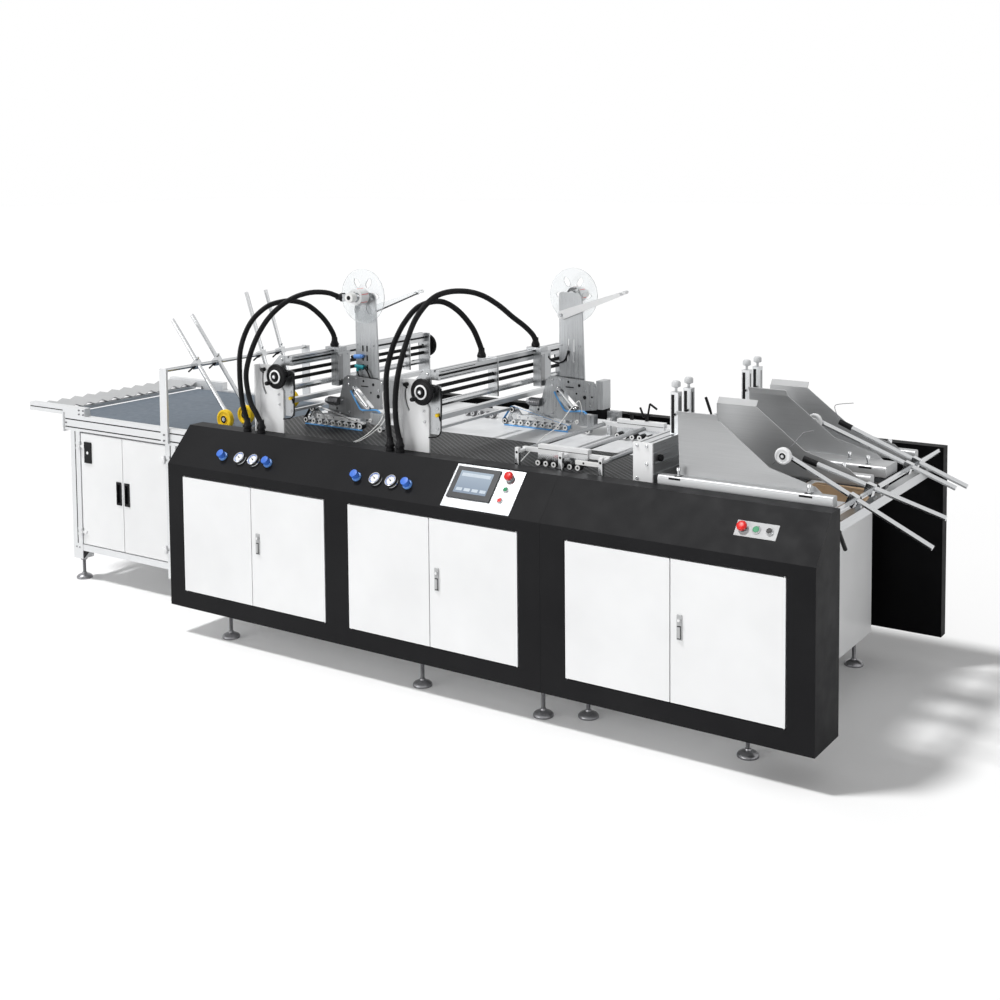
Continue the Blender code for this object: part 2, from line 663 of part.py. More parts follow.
def air_unit(name, positions):
    """Two regulator knobs and two gauges on stems through the slope, joined by a manifold."""
    middle = (positions[0] + positions[-1]) / 2
    half = (positions[-1] - positions[0]) / 2 + 0.025
    depth = -SHEET - GAP
    adds = [box(-half, half, -MANIFOLD_DEPTH / 2, MANIFOLD_DEPTH / 2, depth - MANIFOLD_DEPTH, depth)]
    stem = ((0, depth - 0.002), (AIR_STEM_RADIUS, depth - 0.002), (AIR_STEM_RADIUS, GAP))
    for i, x in enumerate(positions):
        if i in (0, 3):
            profile = ((KNOB_RADIUS, GAP), (KNOB_RADIUS, 0.008), (KNOB_RADIUS * 0.72, 0.010),
                       (KNOB_RADIUS * 0.85, KNOB_HEIGHT * 0.55), (KNOB_RADIUS * 0.80, KNOB_HEIGHT),
                       (0, KNOB_HEIGHT))
        else:
            profile = ((GAUGE_RADIUS, GAP), (GAUGE_RADIUS, GAUGE_HEIGHT),
                       (GAUGE_RADIUS * 0.86, GAUGE_HEIGHT), (GAUGE_RADIUS * 0.86, GAUGE_HEIGHT - 0.003),
                       (0, GAUGE_HEIGHT - 0.003))
        adds.append(turned(stem + profile, 8, Matrix.Translation((x - middle, 0, 0))))
    unit = piece(name, "blue", adds, smooth=35)
    unit.location = slope_point(middle, AIR_SLOPE_POS)
    unit.rotation_euler = (SLOPE_ANGLE, 0, 0)
    return unit


def make_console():
    glands = [route[0][:2] for route in CONDUIT_ROUTES]
    front_cover("front_cover_left", 0.0, SEAM_X - GAP, True, False, glands)
    front_cover("front_cover_right", SEAM_X + GAP, BODY_LENGTH, False, True, ())
    for number, (left, right) in enumerate(DOOR_PAIRS, 1):
        middle = (left + right) / 2
        console_door(f"door_{number}_left", left, middle, False)
        console_door(f"door_{number}_right", right, middle, True)
    cabinet("cabinet_left", SHEET + GAP, SEAM_X - 0.002, FEET_LEFT, FOOT_FRONT_Y, DROP_EDGE_Z)
    cabinet("cabinet_right", SEAM_X + 0.002, CABINET_END_X, FEET_RIGHT, FOOT_RIGHT_Y)
    deck("deck_left", DECK_LEFT_X, SEAM_X - GAP)
    deck("deck_right", SEAM_X + GAP, CABINET_END_X)
    rear_cover()
    slope_length = math.hypot(SLOPE_DEPTH, SLOPE_RISE)
    slope_panel("hmi_panel", HMI_X, slope_length / 2, HMI_HEIGHT, HMI_BUTTONS)
    slope_panel("control_panel", CONTROL_X, CONTROL_SLOPE_POS, CONTROL_HEIGHT, CONTROL_BUTTONS)
    for number, positions in enumerate(AIR_UNITS, 1):
        air_unit(f"air_unit_{number}", positions)


# Outfeed table

TABLE_DOOR_SEAM = (TABLE_LEFT_X + TABLE_LEG + TABLE_RIGHT_LEG_X) / 2
TABLE_RIGHT_X = SHEET
LEG_INNER_LEFT = TABLE_LEFT_X + TABLE_LEG
HINGE_Y = TABLE_FRONT_Y - BARREL_RADIUS
HINGE_OFFSET = RUNNING_GAP / 2


def table_frame():
    leg_rear = TABLE_REAR_Y - TABLE_LEG
    legs = []
    feet = []
    beams = []
    for x in (TABLE_LEFT_X, TABLE_RIGHT_LEG_X):
        for y in (TABLE_FRONT_Y, leg_rear):
            legs.append(box(x, x + TABLE_LEG, y, y + TABLE_LEG, LEG_BOTTOM, RAIL_BOTTOM + 0.001))
            feet.append(foot(x + TABLE_LEG / 2, y + TABLE_LEG / 2, LEG_BOTTOM))
    right = TABLE_RIGHT_LEG_X + TABLE_LEG
    rails = []
    extensions = []
    for y in (TABLE_FRONT_Y, TABLE_REAR_Y - RAIL_WIDTH):
        rails.append(box(TABLE_RAIL_LEFT_X, TABLE_RIGHT_X, y, y + RAIL_WIDTH, RAIL_BOTTOM, RAIL_TOP))
        extensions.append(box(EXTENSION_TIP_X, EXTENSION_END_X, y, y + RAIL_WIDTH,
                              RAIL_TOP - 0.001, EXTENSION_TOP))
        beam_y = y + 0.002 if y == TABLE_FRONT_Y else y - 0.002
        beams.append(box(TABLE_LEFT_X + 0.01, right - 0.01, beam_y, beam_y + RAIL_WIDTH, *LOWER_BEAM))
    bed_bottom = BELT_TOP - BELT_HEIGHT + BELT_THICK + GAP
    bed = prism(loop_outline(BELT_LEFT_X + BELT_THICK + GAP, BELT_RIGHT_X - BELT_THICK - GAP,
                             bed_bottom, BELT_TOP - BELT_THICK - GAP), "Y",
                TABLE_FRONT_Y + RAIL_WIDTH - 0.001, TABLE_REAR_Y - RAIL_WIDTH + 0.001)
    cross = []
    for x in (TABLE_LEFT_X + 0.01, TABLE_RIGHT_LEG_X + 0.01):
        cross.append(box(x, x + RAIL_WIDTH, TABLE_FRONT_Y + RAIL_WIDTH / 2, TABLE_REAR_Y - RAIL_WIDTH / 2,
                         RAIL_BOTTOM - 0.004, RAIL_BOTTOM + 0.020))
    sides = []
    for x in (TABLE_LEFT_X + 0.018, TABLE_RIGHT_LEG_X + 0.018):
        sides.append(box(x, x + RAIL_WIDTH, TABLE_FRONT_Y + 0.030, TABLE_REAR_Y - 0.030,
                         LOWER_BEAM[0] + 0.002, LOWER_BEAM[1] - 0.002))
    knuckles = []
    for side, x in ((-1, LEG_INNER_LEFT + HINGE_OFFSET), (1, TABLE_RIGHT_LEG_X - HINGE_OFFSET)):
        for z in TABLE_HINGE_Z:
            for shift in (-1, 1):
                low = z + shift * (BARREL_LENGTH + GAP) - BARREL_LENGTH / 2
                knuckles.append(hinge_leaf(x, side, low, low + BARREL_LENGTH, TABLE_FRONT_Y + 0.001))
    end_plates = []
    for y in (TABLE_FRONT_Y - 0.006, TABLE_REAR_Y - RAIL_WIDTH - 0.006):
        end_plates.append(box(TABLE_RAIL_LEFT_X - 0.008, TABLE_RAIL_LEFT_X + 0.001, y,
                              y + RAIL_WIDTH + 0.012, RAIL_BOTTOM - 0.010, RAIL_TOP + 0.012))
    adds = [group(*shapes) for shapes in (legs, feet, rails, extensions, beams, sides)]
    adds += [bed, group(*cross), group(*end_plates), group(*knuckles)]
    return piece("outfeed_frame", "aluminium", adds)


def hinge_leaf(x, side, z0, z1, plate_y):
    """A hinge barrel with its plate: the plate reaches from the axis to one side."""
    barrel = arc((x, HINGE_Y), BARREL_RADIUS, 0, 315, 7)
    shape = prism(barrel, "Z", z0, z1)
    obj = as_object("hinge", shape)
    low, high = sorted((x + side * BARREL_RADIUS * 0.4, x + side * 0.034))
    combine(obj, box(low, high, HINGE_Y + 0.002, plate_y, z0, z1), "UNION")
    bm = bmesh.new()
    bm.from_mesh(obj.data)
    mesh = obj.data
    bpy.data.objects.remove(obj, do_unlink=True)
    bpy.data.meshes.remove(mesh)
    return bm


def table_cabinet():
    x0 = LEG_INNER_LEFT + GAP
    x1 = TABLE_RIGHT_LEG_X - GAP
    y0 = TABLE_DOOR_Y + TABLE_DOOR_THICK + RUNNING_GAP
    y1 = TABLE_REAR_Y - 0.020
    z0 = LOWER_BEAM[1] + GAP
    z1 = RAIL_BOTTOM - 0.004 - GAP
    outer = box(x0, x1, y0, y1, z0, z1)
    inner = box(x0 + SHEET, x1 - SHEET, y0 - SHEET, y1 - SHEET, z0 + SHEET, z1 - SHEET)
    return piece("outfeed_cabinet", "white", [outer], [inner])


def table_door(name, hinge_x, free_x, plate):
    side = 1 if free_x > hinge_x else -1
    edge = hinge_x + side * RUNNING_GAP
    seam = free_x - side * RUNNING_GAP / 2
    low, high = min(edge, seam), max(edge, seam)
    axis_x = hinge_x + side * HINGE_OFFSET
    z0 = LOWER_BEAM[1] + RUNNING_GAP
    z1 = RAIL_BOTTOM - RUNNING_GAP - 0.004
    adds = [box(low, high, TABLE_DOOR_Y, TABLE_DOOR_Y + TABLE_DOOR_THICK, z0, z1)]
    leaves = []
    for z in TABLE_HINGE_Z:
        leaves.append(hinge_leaf(axis_x, side, z - BARREL_LENGTH / 2, z + BARREL_LENGTH / 2,
                                 TABLE_DOOR_Y + 0.001))
    adds.append(group(*leaves))
    width, height = HANDLE_SIZE
    centre = seam - side * (0.010 + width / 2)
    adds.append(box(centre - width / 2, centre + width / 2, TABLE_DOOR_Y - 0.004, TABLE_DOOR_Y + 0.001,
                    HANDLE_Z - height / 2, HANDLE_Z + height / 2))
    cuts = [box(low + DOOR_SHEET, high - DOOR_SHEET, TABLE_DOOR_Y + DOOR_SHEET + 0.010,
                TABLE_DOOR_Y + TABLE_DOOR_THICK * 2, z0 + DOOR_SHEET, z1 - DOOR_SHEET),
            box(centre - width * 0.34, centre + width * 0.34, TABLE_DOOR_Y - 0.010, TABLE_DOOR_Y + 0.008,
                HANDLE_Z - height * 0.40, HANDLE_Z + height * 0.40)]
    if plate:
        adds.append(box(low + 0.030, low + 0.085, TABLE_DOOR_Y - 0.006, TABLE_DOOR_Y + 0.001,
                        z1 - 0.160, z1 - 0.045))
    door = piece(name, "white", adds, cuts)
    set_origin(door, (axis_x, HINGE_Y, (z0 + z1) / 2))
    return door


def table_tray():
    y0 = TABLE_FRONT_Y + RAIL_WIDTH + GAP
    y1 = TABLE_REAR_Y - RAIL_WIDTH - GAP
    steps = TRAY_FLUTES * TRAY_STEPS
    path = []
    for i in range(steps + 1):
        share = i / steps
        path.append((y0 + (y1 - y0) * share,
                     TRAY_Z + TRAY_WAVE * math.cos(2 * math.pi * TRAY_FLUTES * share)))
    outline = path + [(y, z - TRAY_SHEET) for y, z in reversed(path)]
    return piece("outfeed_tray", "steel", [prism(outline, "X", EXTENSION_TIP_X, BELT_LEFT_X - RUNNING_GAP)])


def press_rod_ends(angle, upper):
    """Top end, wheel end and direction of a rod clamped beside the crossbar, in X and Z."""
    slope = math.radians(angle)
    along_rod = Vector((math.cos(slope), -math.sin(slope)))
    across = Vector((math.sin(slope), math.cos(slope)))
    clamp = Vector(((POST_X[0] + POST_X[1]) / 2, CROSSBAR_Z)) + across * ROD_OFFSET
    wheel_z = BELT_TOP + GAP + WHEEL_RADIUS
    lower = (clamp.y - wheel_z) / math.sin(slope)
    return clamp, clamp - along_rod * upper, clamp + along_rod * lower


def press_frame():
    middle = (POST_X[0] + POST_X[1]) / 2
    front = TABLE_FRONT_Y - GAP
    rear = TABLE_REAR_Y + GAP
    adds = [group(box(*POST_X, front - POST_THICK, front, POST_BOTTOM, CROSSBAR_Z + CROSSBAR_RADIUS),
                  box(*POST_X, rear, rear + POST_THICK, POST_BOTTOM, CROSSBAR_Z + CROSSBAR_RADIUS)),
            rod((middle, front - POST_THICK / 2, CROSSBAR_Z), (middle, rear + POST_THICK / 2, CROSSBAR_Z),
                CROSSBAR_RADIUS)]
    clamps, rods, axles = [], [], []
    for y, angle, upper in PRESS_RODS:
        clamp, top, end = press_rod_ends(angle, upper)
        direction = (end - top).normalized() * CLAMP_SIZE / 2
        centre = (clamp + Vector((middle, CROSSBAR_Z))) / 2
        clamps.append(block_along((centre.x - direction.x, y, centre.y - direction.y),
                                  (centre.x + direction.x, y, centre.y + direction.y),
                                  CLAMP_WIDTH, CLAMP_SIZE))
        rods.append(rod((top.x, y, top.y), (end.x, y, end.y), ROD_RADIUS))
        axles.append(rod((end.x, y + ROD_RADIUS + 0.004, end.y),
                         (end.x, y - WHEEL_SIDE - WHEEL_WIDTH / 2 - 0.004, end.y), AXLE_RADIUS, 12))
    adds += [group(*clamps), group(*rods), group(*axles)]
    return piece("press_frame", "steel", adds)


def roller_wheel(name, colour, centre, radius, width, bore):
    """A wheel with a narrower hub, turned about Y."""
    half = width / 2
    profile = ((bore, -half), (radius * 0.42, -half), (radius * 0.46, -half * 0.7),
               (radius * 0.74, -half * 0.7), (radius * 0.76, -half), (radius, -half), (radius, half),
               (bore, half))
    if radius < WHEEL_RADIUS:
        profile = ((bore, -half), (radius, -half), (radius, half), (bore, half))
    wheel = piece(name, colour, [turned(profile, 16, Matrix.Rotation(math.pi / 2, 4, "X"))], smooth=35)
    wheel.location = centre
    return wheel


def make_outfeed():
    table_frame()
    table_cabinet()
    table_door("outfeed_door_left", LEG_INNER_LEFT, TABLE_DOOR_SEAM, True)
    table_door("outfeed_door_right", TABLE_RIGHT_LEG_X, TABLE_DOOR_SEAM, False)
    table_tray()
    y0 = TABLE_FRONT_Y + RAIL_WIDTH + BELT_EDGE
    y1 = TABLE_REAR_Y - RAIL_WIDTH - BELT_EDGE
    outer = loop_outline(BELT_LEFT_X, BELT_RIGHT_X, BELT_TOP - BELT_HEIGHT, BELT_TOP)
    inner = loop_outline(BELT_LEFT_X + BELT_THICK, BELT_RIGHT_X - BELT_THICK,
                         BELT_TOP - BELT_HEIGHT + BELT_THICK, BELT_TOP - BELT_THICK)
    piece("outfeed_belt", "belt", [prism(outer, "Y", y0, y1)],
          [prism(inner, "Y", y0 - BELT_EDGE, y1 + BELT_EDGE)])
    press_frame()
    for number, (y, angle, upper) in enumerate(PRESS_RODS, 1):
        end = press_rod_ends(angle, upper)[2]
        roller_wheel(f"press_wheel_{number}", "yellow", (end.x, y - WHEEL_SIDE, end.y),
                     WHEEL_RADIUS, WHEEL_WIDTH, AXLE_RADIUS + GAP)


# Gantries and taping heads


def gantry_bracket(number, x0):
    left, right = BRACKET_X[0] + x0, BRACKET_X[1] + x0
    foot_z = TOP_Z + GAP
    outline = ((left, foot_z), (right, foot_z), (right, BRACKET_SHOULDER),
               (right - 0.035, BRACKET_SHOULDER + 0.045), (left + 0.085, BRACKET_TOP), (left, BRACKET_TOP))
    adds = [prism(outline, "Y", *BRACKET_PLATE_Y),
            box(left, left + 0.008, BRACKET_FLANGE_Y, BRACKET_PLATE_Y[1] - 0.001, foot_z, BRACKET_TOP)]
    centre = (SLOT_CENTRE[0] + x0, SLOT_CENTRE[1])
    outer = arc(centre, SLOT_RADIUS + SLOT_WIDTH / 2, *SLOT_ANGLES, 8)
    inner = arc(centre, SLOT_RADIUS - SLOT_WIDTH / 2, *SLOT_ANGLES, 8)
    slot = prism(outer + list(reversed(inner)), "Y", BRACKET_PLATE_Y[0] - 0.01, BRACKET_PLATE_Y[1] + 0.01)
    return piece(f"gantry_bracket_{number}", "white", adds, [slot])


def gantry_frame(number, x0):
    near = BRACKET_PLATE_Y[1] + GAP
    left = GANTRY_RAIL_X + x0
    right = left + RAIL_SIDE
    shoulder = GANTRY_TOP - 0.070
    near_plate = ((left - 0.110, NEAR_PLATE_BOTTOM), (right + 0.006, NEAR_PLATE_BOTTOM),
                  (right + 0.006, shoulder), (left, shoulder + 0.006), (left, GANTRY_TOP),
                  (left - 0.032, GANTRY_TOP), (left - 0.086, shoulder + 0.018), (left - 0.110, shoulder))
    far_plate = ((left - 0.005, DECK_TOP + GAP), (right + 0.020, DECK_TOP + GAP),
                 (right + 0.020, GANTRY_TOP), (left - 0.005, GANTRY_TOP))
    mid_y = MID_PLATE_Y[number - 1]
    plates = group(prism(near_plate, "Y", near, near + END_PLATE),
                   prism(far_plate, "Y", FAR_PLATE_Y, FAR_PLATE_Y + END_PLATE),
                   box(left - 0.004, right + 0.004, mid_y, mid_y + END_PLATE, GANTRY_TOP - 0.180,
                       GANTRY_TOP + 0.004))
    start, end = near + 0.002, FAR_PLATE_Y + 0.002
    groove = 0.010
    top = GANTRY_TOP
    low = GANTRY_TOP - RAIL_SIDE
    mid_x = (left + right) / 2
    mid_z = (top + low) / 2
    top_rail = ((left, low), (right, low), (right, mid_z - groove / 2), (right - groove, mid_z - groove / 2),
                (right - groove, mid_z + groove / 2), (right, mid_z + groove / 2), (right, top),
                (mid_x + groove / 2, top), (mid_x + groove / 2, top - groove),
                (mid_x - groove / 2, top - groove), (mid_x - groove / 2, top), (left, top))
    bars = [prism(top_rail, "Y", start, end)]
    for z, radius in ROUND_RAILS:
        bars.append(rod((mid_x, start, z), (mid_x, end, z), radius))
    bars.append(box(left + 0.008, right - 0.006, start, end, *LOWER_RAIL_Z))
    bars.append(box(FRONT_RAIL[0] + x0, FRONT_RAIL[1] + x0, start, end - 0.4, *FRONT_RAIL[2:]))
    if number == 2:
        bars.append(rod((mid_x, RAIL_GLAND_Y, GANTRY_TOP - 0.004),
                        (mid_x, RAIL_GLAND_Y, GANTRY_TOP + SADDLE_THICK), GLAND_RADIUS))
    holes = []
    for (x, z), y in ((HANDWHEEL_XZ, near), (REAR_HANDWHEEL_XZ, FAR_PLATE_Y)):
        holes.append(rod((x + x0, y - END_PLATE, z), (x + x0, y + END_PLATE * 2, z), SHAFT_RADIUS + GAP,
                         HANDWHEEL_SIDES))
    return piece(f"gantry_frame_{number}", "aluminium", [plates, *bars], [group(*holes)])


def handwheel(name, x, z, plate_y, direction, bore_depth):
    """A dished wheel on a short shaft; direction is -1 where it faces the front."""
    rim = HANDWHEEL_RADIUS
    profile = ((0, -0.012), (0.018, -0.012), (0.020, 0.004), (rim - 0.012, 0.004), (rim - 0.008, 0.000),
               (rim, 0.004), (rim, 0.018), (rim - 0.012, 0.014), (0.020, 0.012), (SHAFT_RADIUS, 0.024),
               (SHAFT_RADIUS, HANDWHEEL_STANDOFF + bore_depth), (0, HANDWHEEL_STANDOFF + bore_depth))
    wheel = turned(profile, HANDWHEEL_SIDES)
    crank = rim - 0.024
    knob = turned(((0, 0.008), (0.009, 0.008), (0.010, -0.020), (0.008, -0.042), (0, -0.042)), 6,
                  Matrix.Translation((crank * math.cos(HANDLE_ANGLE), crank * math.sin(HANDLE_ANGLE), 0.0)))
    for shape in (wheel, knob):
        shape.transform(Matrix.Rotation(direction * math.pi / 2, 4, "X"))
    obj = piece(name, "black", [wheel, knob], smooth=40)
    obj.location = (x, plate_y + direction * HANDWHEEL_STANDOFF, z)
    return obj


def head_plate_outline(x0):
    top = ARM_PLATE_BOTTOM + 0.050
    low = DECK_TOP + 0.044
    return ((0.520 + x0, low + 0.012), (0.560 + x0, low + 0.018), (0.575 + x0, low + 0.086),
            (0.640 + x0, low + 0.106), (0.668 + x0, top - 0.015), (0.690 + x0, top),
            (0.925 + x0, top - 0.012), (0.945 + x0, top - 0.045), (0.940 + x0, low + 0.071),
            (0.868 + x0, low + 0.061), (0.862 + x0, low), (0.520 + x0, low))


def tape_head(number, x0):
    y = HEAD_Y[number - 1]
    side = REEL_SIDE[number - 1]
    arm_y = ARM_Y[number - 1]
    plate_y = y + PRESS_BELT_WIDTH / 2 + 0.006
    rail_right = GANTRY_RAIL_X + RAIL_SIDE + x0
    x_left, x_right = ARM_PLATE_X[0] + x0, ARM_PLATE_X[1] + x0
    top = ARM_PLATE_TOP
    arm = [(x_left, ARM_PLATE_BOTTOM), (x_right + 0.015, ARM_PLATE_BOTTOM), (x_right, top - 0.030)]
    arm += arc((x_right - 0.030, top - 0.030), 0.030, 0, 90, 4)
    arm += arc((x_left + 0.012, top - 0.012), 0.012, 90, 180, 2)
    low = ARM_PLATE_BOTTOM
    carriage = box(rail_right + GAP, rail_right + 0.045, arm_y - 0.040, arm_y + 0.050, low - 0.005,
                   GANTRY_TOP - 0.008)
    bridge = box(rail_right + 0.040, x_right + 0.060, arm_y - 0.004, arm_y + 0.030, low - 0.005, low + 0.022)
    saddle = box(GANTRY_RAIL_X + x0, rail_right + 0.040, arm_y - 0.030, arm_y + 0.030,
                 GANTRY_TOP + GAP, GANTRY_TOP + SADDLE_THICK)
    riser = box(rail_right + 0.012, rail_right + 0.040, arm_y - 0.030, arm_y + 0.030, GANTRY_TOP - 0.010,
                GANTRY_TOP + SADDLE_THICK)
    arm_plate = prism(arm, "Y", arm_y, arm_y + HEAD_PLATE)
    side_plate = prism(head_plate_outline(x0), "Y", plate_y, plate_y + HEAD_PLATE)
    link = box(0.700 + x0, 0.900 + x0, plate_y + 0.001, arm_y + HEAD_PLATE, low, low + 0.022)
    axis_z = low - 0.082
    coupling = rod((0.575 + x0, plate_y - 0.012, axis_z), (0.640 + x0, plate_y - 0.012, axis_z), 0.018)
    motor = box(0.942 + x0, 0.978 + x0, plate_y + 0.001, plate_y + 0.075, low - 0.090, low + 0.045)
    block = box(0.856 + x0, 0.950 + x0, y - 0.015, plate_y + 0.001, DECK_TOP + 0.040, DECK_TOP + 0.095)
    trail_x, trail_z = 0.915 + x0, DECK_TOP + 0.018
    trailer = rod((trail_x, y - 0.013, trail_z), (trail_x, y + 0.013, trail_z), 0.013)
    hanger = box(trail_x - 0.007, trail_x + 0.007, y - 0.004, y + 0.004, trail_z + 0.002, DECK_TOP + 0.042)
    hub_face = arm_y if side < 0 else arm_y + HEAD_PLATE
    cap_y = hub_face + side * (ARM_Y[0] - REEL_CAP_Y)
    axle_x, axle_z = REEL_XZ[0] + x0, REEL_XZ[1]
    axle = rod((axle_x, hub_face - side * 0.004, axle_z), (axle_x, cap_y, axle_z), AXLE_RADIUS * 2)
    cap = rod((axle_x, cap_y - 0.017, axle_z), (axle_x, cap_y + 0.017, axle_z), 0.024, 10)
    fitting = box(axle_x - CAP_FITTING, axle_x - 0.015, cap_y - 0.015, cap_y + 0.015, axle_z - 0.016,
                  axle_z + 0.016)
    collar = rod((axle_x, hub_face - side * 0.002, axle_z), (axle_x, hub_face + side * 0.014, axle_z),
                 0.022, 12)
    pivot_x, pivot_z = TENSION_PIVOT[0] + x0, TENSION_PIVOT[1]
    pivot_face = arm_y + HEAD_PLATE if side < 0 else arm_y
    pivot = rod((pivot_x, pivot_face + side * 0.004, pivot_z), (pivot_x, pivot_face - side * 0.022, pivot_z),
                TENSION_PIN_RADIUS)
    rollers, pins = press_roller_shapes(x0, y, plate_y)
    slots = [box(x_left + 0.045 + i * 0.030, x_left + 0.053 + i * 0.030, arm_y - 0.01,
                 arm_y + HEAD_PLATE + 0.01, low + 0.120, low + 0.230) for i in range(2)]
    if side < 0:
        slots = [box(x_left + 0.040 + i * 0.026, x_left + 0.048 + i * 0.026, arm_y - 0.01,
                     arm_y + HEAD_PLATE + 0.01, low + 0.075 + k * 0.046, low + 0.105 + k * 0.046)
                 for i in range(2) for k in range(3)]
    window = ((0.735 + x0, low + 0.002), (0.760 + x0, low - 0.010), (0.855 + x0, low - 0.095),
              (0.800 + x0, low - 0.110), (0.720 + x0, low - 0.050))
    cuts = [group(*slots), prism(window, "Y", plate_y - 0.005, plate_y + HEAD_PLATE + 0.0005)]
    adds = [carriage, bridge, saddle, riser, arm_plate, link, side_plate, collar, axle, cap, fitting, pivot,
            coupling, motor, block, trailer, hanger, group(*pins), group(*rollers)]
    return piece(f"tape_head_{number}", "steel", adds, cuts)


def roller_centres(x0):
    row_z = NOSE_LOW[1] - NOSE_RADIUS + ROLLER_RADIUS
    centres = [(ROLLER_FIRST_X + i * ROLLER_PITCH + x0, row_z, ROLLER_RADIUS) for i in range(PRESS_ROLLERS)]
    centres.append((NOSE_LOW[0] + x0, NOSE_LOW[1], NOSE_RADIUS))
    centres.append((NOSE_HIGH[0] + x0, NOSE_HIGH[1], NOSE_RADIUS))
    return centres


def press_roller_shapes(x0, y, plate_y):
    """Small rollers in the belt loop, their pins, and the bar that holds the pins."""
    half = PRESS_BELT_WIDTH / 2
    row_z = NOSE_LOW[1] - NOSE_RADIUS + ROLLER_RADIUS
    last_x = ROLLER_FIRST_X + (PRESS_ROLLERS - 1) * ROLLER_PITCH
    rollers = []
    for x, z, radius in roller_centres(x0):
        rollers.append(rod((x, y - half + 0.002, z), (x, y + half - 0.002, z), radius - ROLLER_SLACK))
    bar = [(NOSE_LOW[0] - 0.008 + x0, NOSE_LOW[1] - 0.006), (last_x + 0.020 + x0, row_z - 0.006),
           (last_x + 0.020 + x0, row_z + 0.034), (NOSE_HIGH[0] + 0.040 + x0, row_z + 0.034),
           (NOSE_HIGH[0] + 0.010 + x0, NOSE_HIGH[1] + 0.008),
           (NOSE_HIGH[0] - 0.010 + x0, NOSE_HIGH[1] + 0.008)]
    pins = [prism(bar, "Y", y + half - 0.003, plate_y + 0.001)]
    return rollers, pins


def belt_path(x0, extra):
    """Outline of the press belt round the roller row and both nose pulleys."""
    low = (NOSE_LOW[0] + x0, NOSE_LOW[1])
    high = (NOSE_HIGH[0] + x0, NOSE_HIGH[1])
    last = (ROLLER_FIRST_X + (PRESS_ROLLERS - 1) * ROLLER_PITCH + x0,
            NOSE_LOW[1] - NOSE_RADIUS + ROLLER_RADIUS)
    lean = math.degrees(math.atan2(high[1] - low[1], high[0] - low[0])) + 90
    nose = NOSE_RADIUS + extra
    fall = math.degrees(math.atan2(high[1] + NOSE_RADIUS - last[1] - ROLLER_RADIUS, last[0] - high[0]))
    points = arc(low, nose, 270, lean, 8)
    points += arc(high, nose, lean, 90 - fall, 4)
    points += arc(last, ROLLER_RADIUS + extra, 90 - fall, -90, 8)
    return points


def press_belt(number, x0):
    y = HEAD_Y[number - 1]
    half = PRESS_BELT_WIDTH / 2 - 0.0035
    outer = prism(belt_path(x0, PRESS_BELT_THICK), "Y", y - half, y + half)
    inner = prism(belt_path(x0, 0.0), "Y", y - half - 0.01, y + half + 0.01)
    return piece(f"press_belt_{number}", "blue", [outer], [inner])


def tape_reel(number, x0):
    side = REEL_SIDE[number - 1]
    arm_y = ARM_Y[number - 1]
    face = arm_y if side < 0 else arm_y + HEAD_PLATE
    bore = AXLE_RADIUS * 2 + GAP
    start = 0.014 + GAP
    length = REEL_HUB_LENGTH
    profile = ((bore, 0), (REEL_HUB_RADIUS, 0), (REEL_HUB_RADIUS, length), (bore, length))
    disc = turned(((bore + 0.01, 0.002), (REEL_RADIUS, 0.002), (REEL_RADIUS, 0.002 + REEL_DISC),
                   (bore + 0.01, 0.002 + REEL_DISC)), 24)
    petals = []
    for i in range(REEL_PETALS):
        angle = 2 * math.pi * i / REEL_PETALS
        petal = prism([(0.072 + 0.026 * math.cos(a), 0.015 * math.sin(a))
                       for a in (2 * math.pi * k / 6 for k in range(6))], "Z", -0.01, 0.02)
        petal.transform(Matrix.Rotation(angle, 4, "Z"))
        petals.append(petal)
    reel = piece(f"tape_reel_{number}", "clear", [turned(profile, 16), disc], [group(*petals)], smooth=35)
    reel.data.transform(Matrix.Rotation(math.pi / 2 * -side, 4, "X"))
    reel.location = (REEL_XZ[0] + x0, face + side * start, REEL_XZ[1])
    return reel


def tension_arm(number, x0):
    side = REEL_SIDE[number - 1]
    arm_y = ARM_Y[number - 1]
    face = arm_y + HEAD_PLATE if side < 0 else arm_y
    near = face - side * (RUNNING_GAP + 0.001)
    far = near - side * 0.006
    pivot = Vector((TENSION_PIVOT[0] + x0, TENSION_PIVOT[1]))
    tip = Vector((TENSION_TIP[0] + x0, TENSION_TIP[1]))
    line = (tip - pivot).normalized()
    angle = math.degrees(math.atan2(line.y, line.x))
    outline = arc(pivot, 0.022, angle + 90, angle + 270, 6) + arc(tip, 0.008, angle - 90, angle + 90, 4)
    low, high = sorted((near, far))
    adds = [prism(outline, "Y", low, high)]
    for distance in (0.0, -0.032):
        centre = tip + line * distance
        adds.append(rod((centre.x, far + side * 0.003, centre.y), (centre.x, far - side * 0.026, centre.y),
                        0.008))
    hole = rod((pivot.x, low - 0.01, pivot.y), (pivot.x, high + 0.01, pivot.y),
               bore_radius(TENSION_PIN_RADIUS, 8))
    arm = piece(f"tension_arm_{number}", "steel", adds, [hole])
    set_origin(arm, (pivot.x, (low + high) / 2, pivot.y))
    return arm


def make_gantries():
    for number, x0 in enumerate(GANTRY_X, 1):
        gantry_bracket(number, x0)
        gantry_frame(number, x0)
        handwheel(f"handwheel_{number}_front", HANDWHEEL_XZ[0] + x0, HANDWHEEL_XZ[1],
                  BRACKET_PLATE_Y[0], -1, BRACKET_PLATE_Y[1] + END_PLATE - BRACKET_PLATE_Y[0] - 0.001)
        handwheel(f"handwheel_{number}_rear", REAR_HANDWHEEL_XZ[0] + x0, REAR_HANDWHEEL_XZ[1],
                  FAR_PLATE_Y + END_PLATE, 1, END_PLATE - 0.001)
        tape_head(number, x0)
        press_belt(number, x0)
        tape_reel(number, x0)
        tension_arm(number, x0)


# Conduits


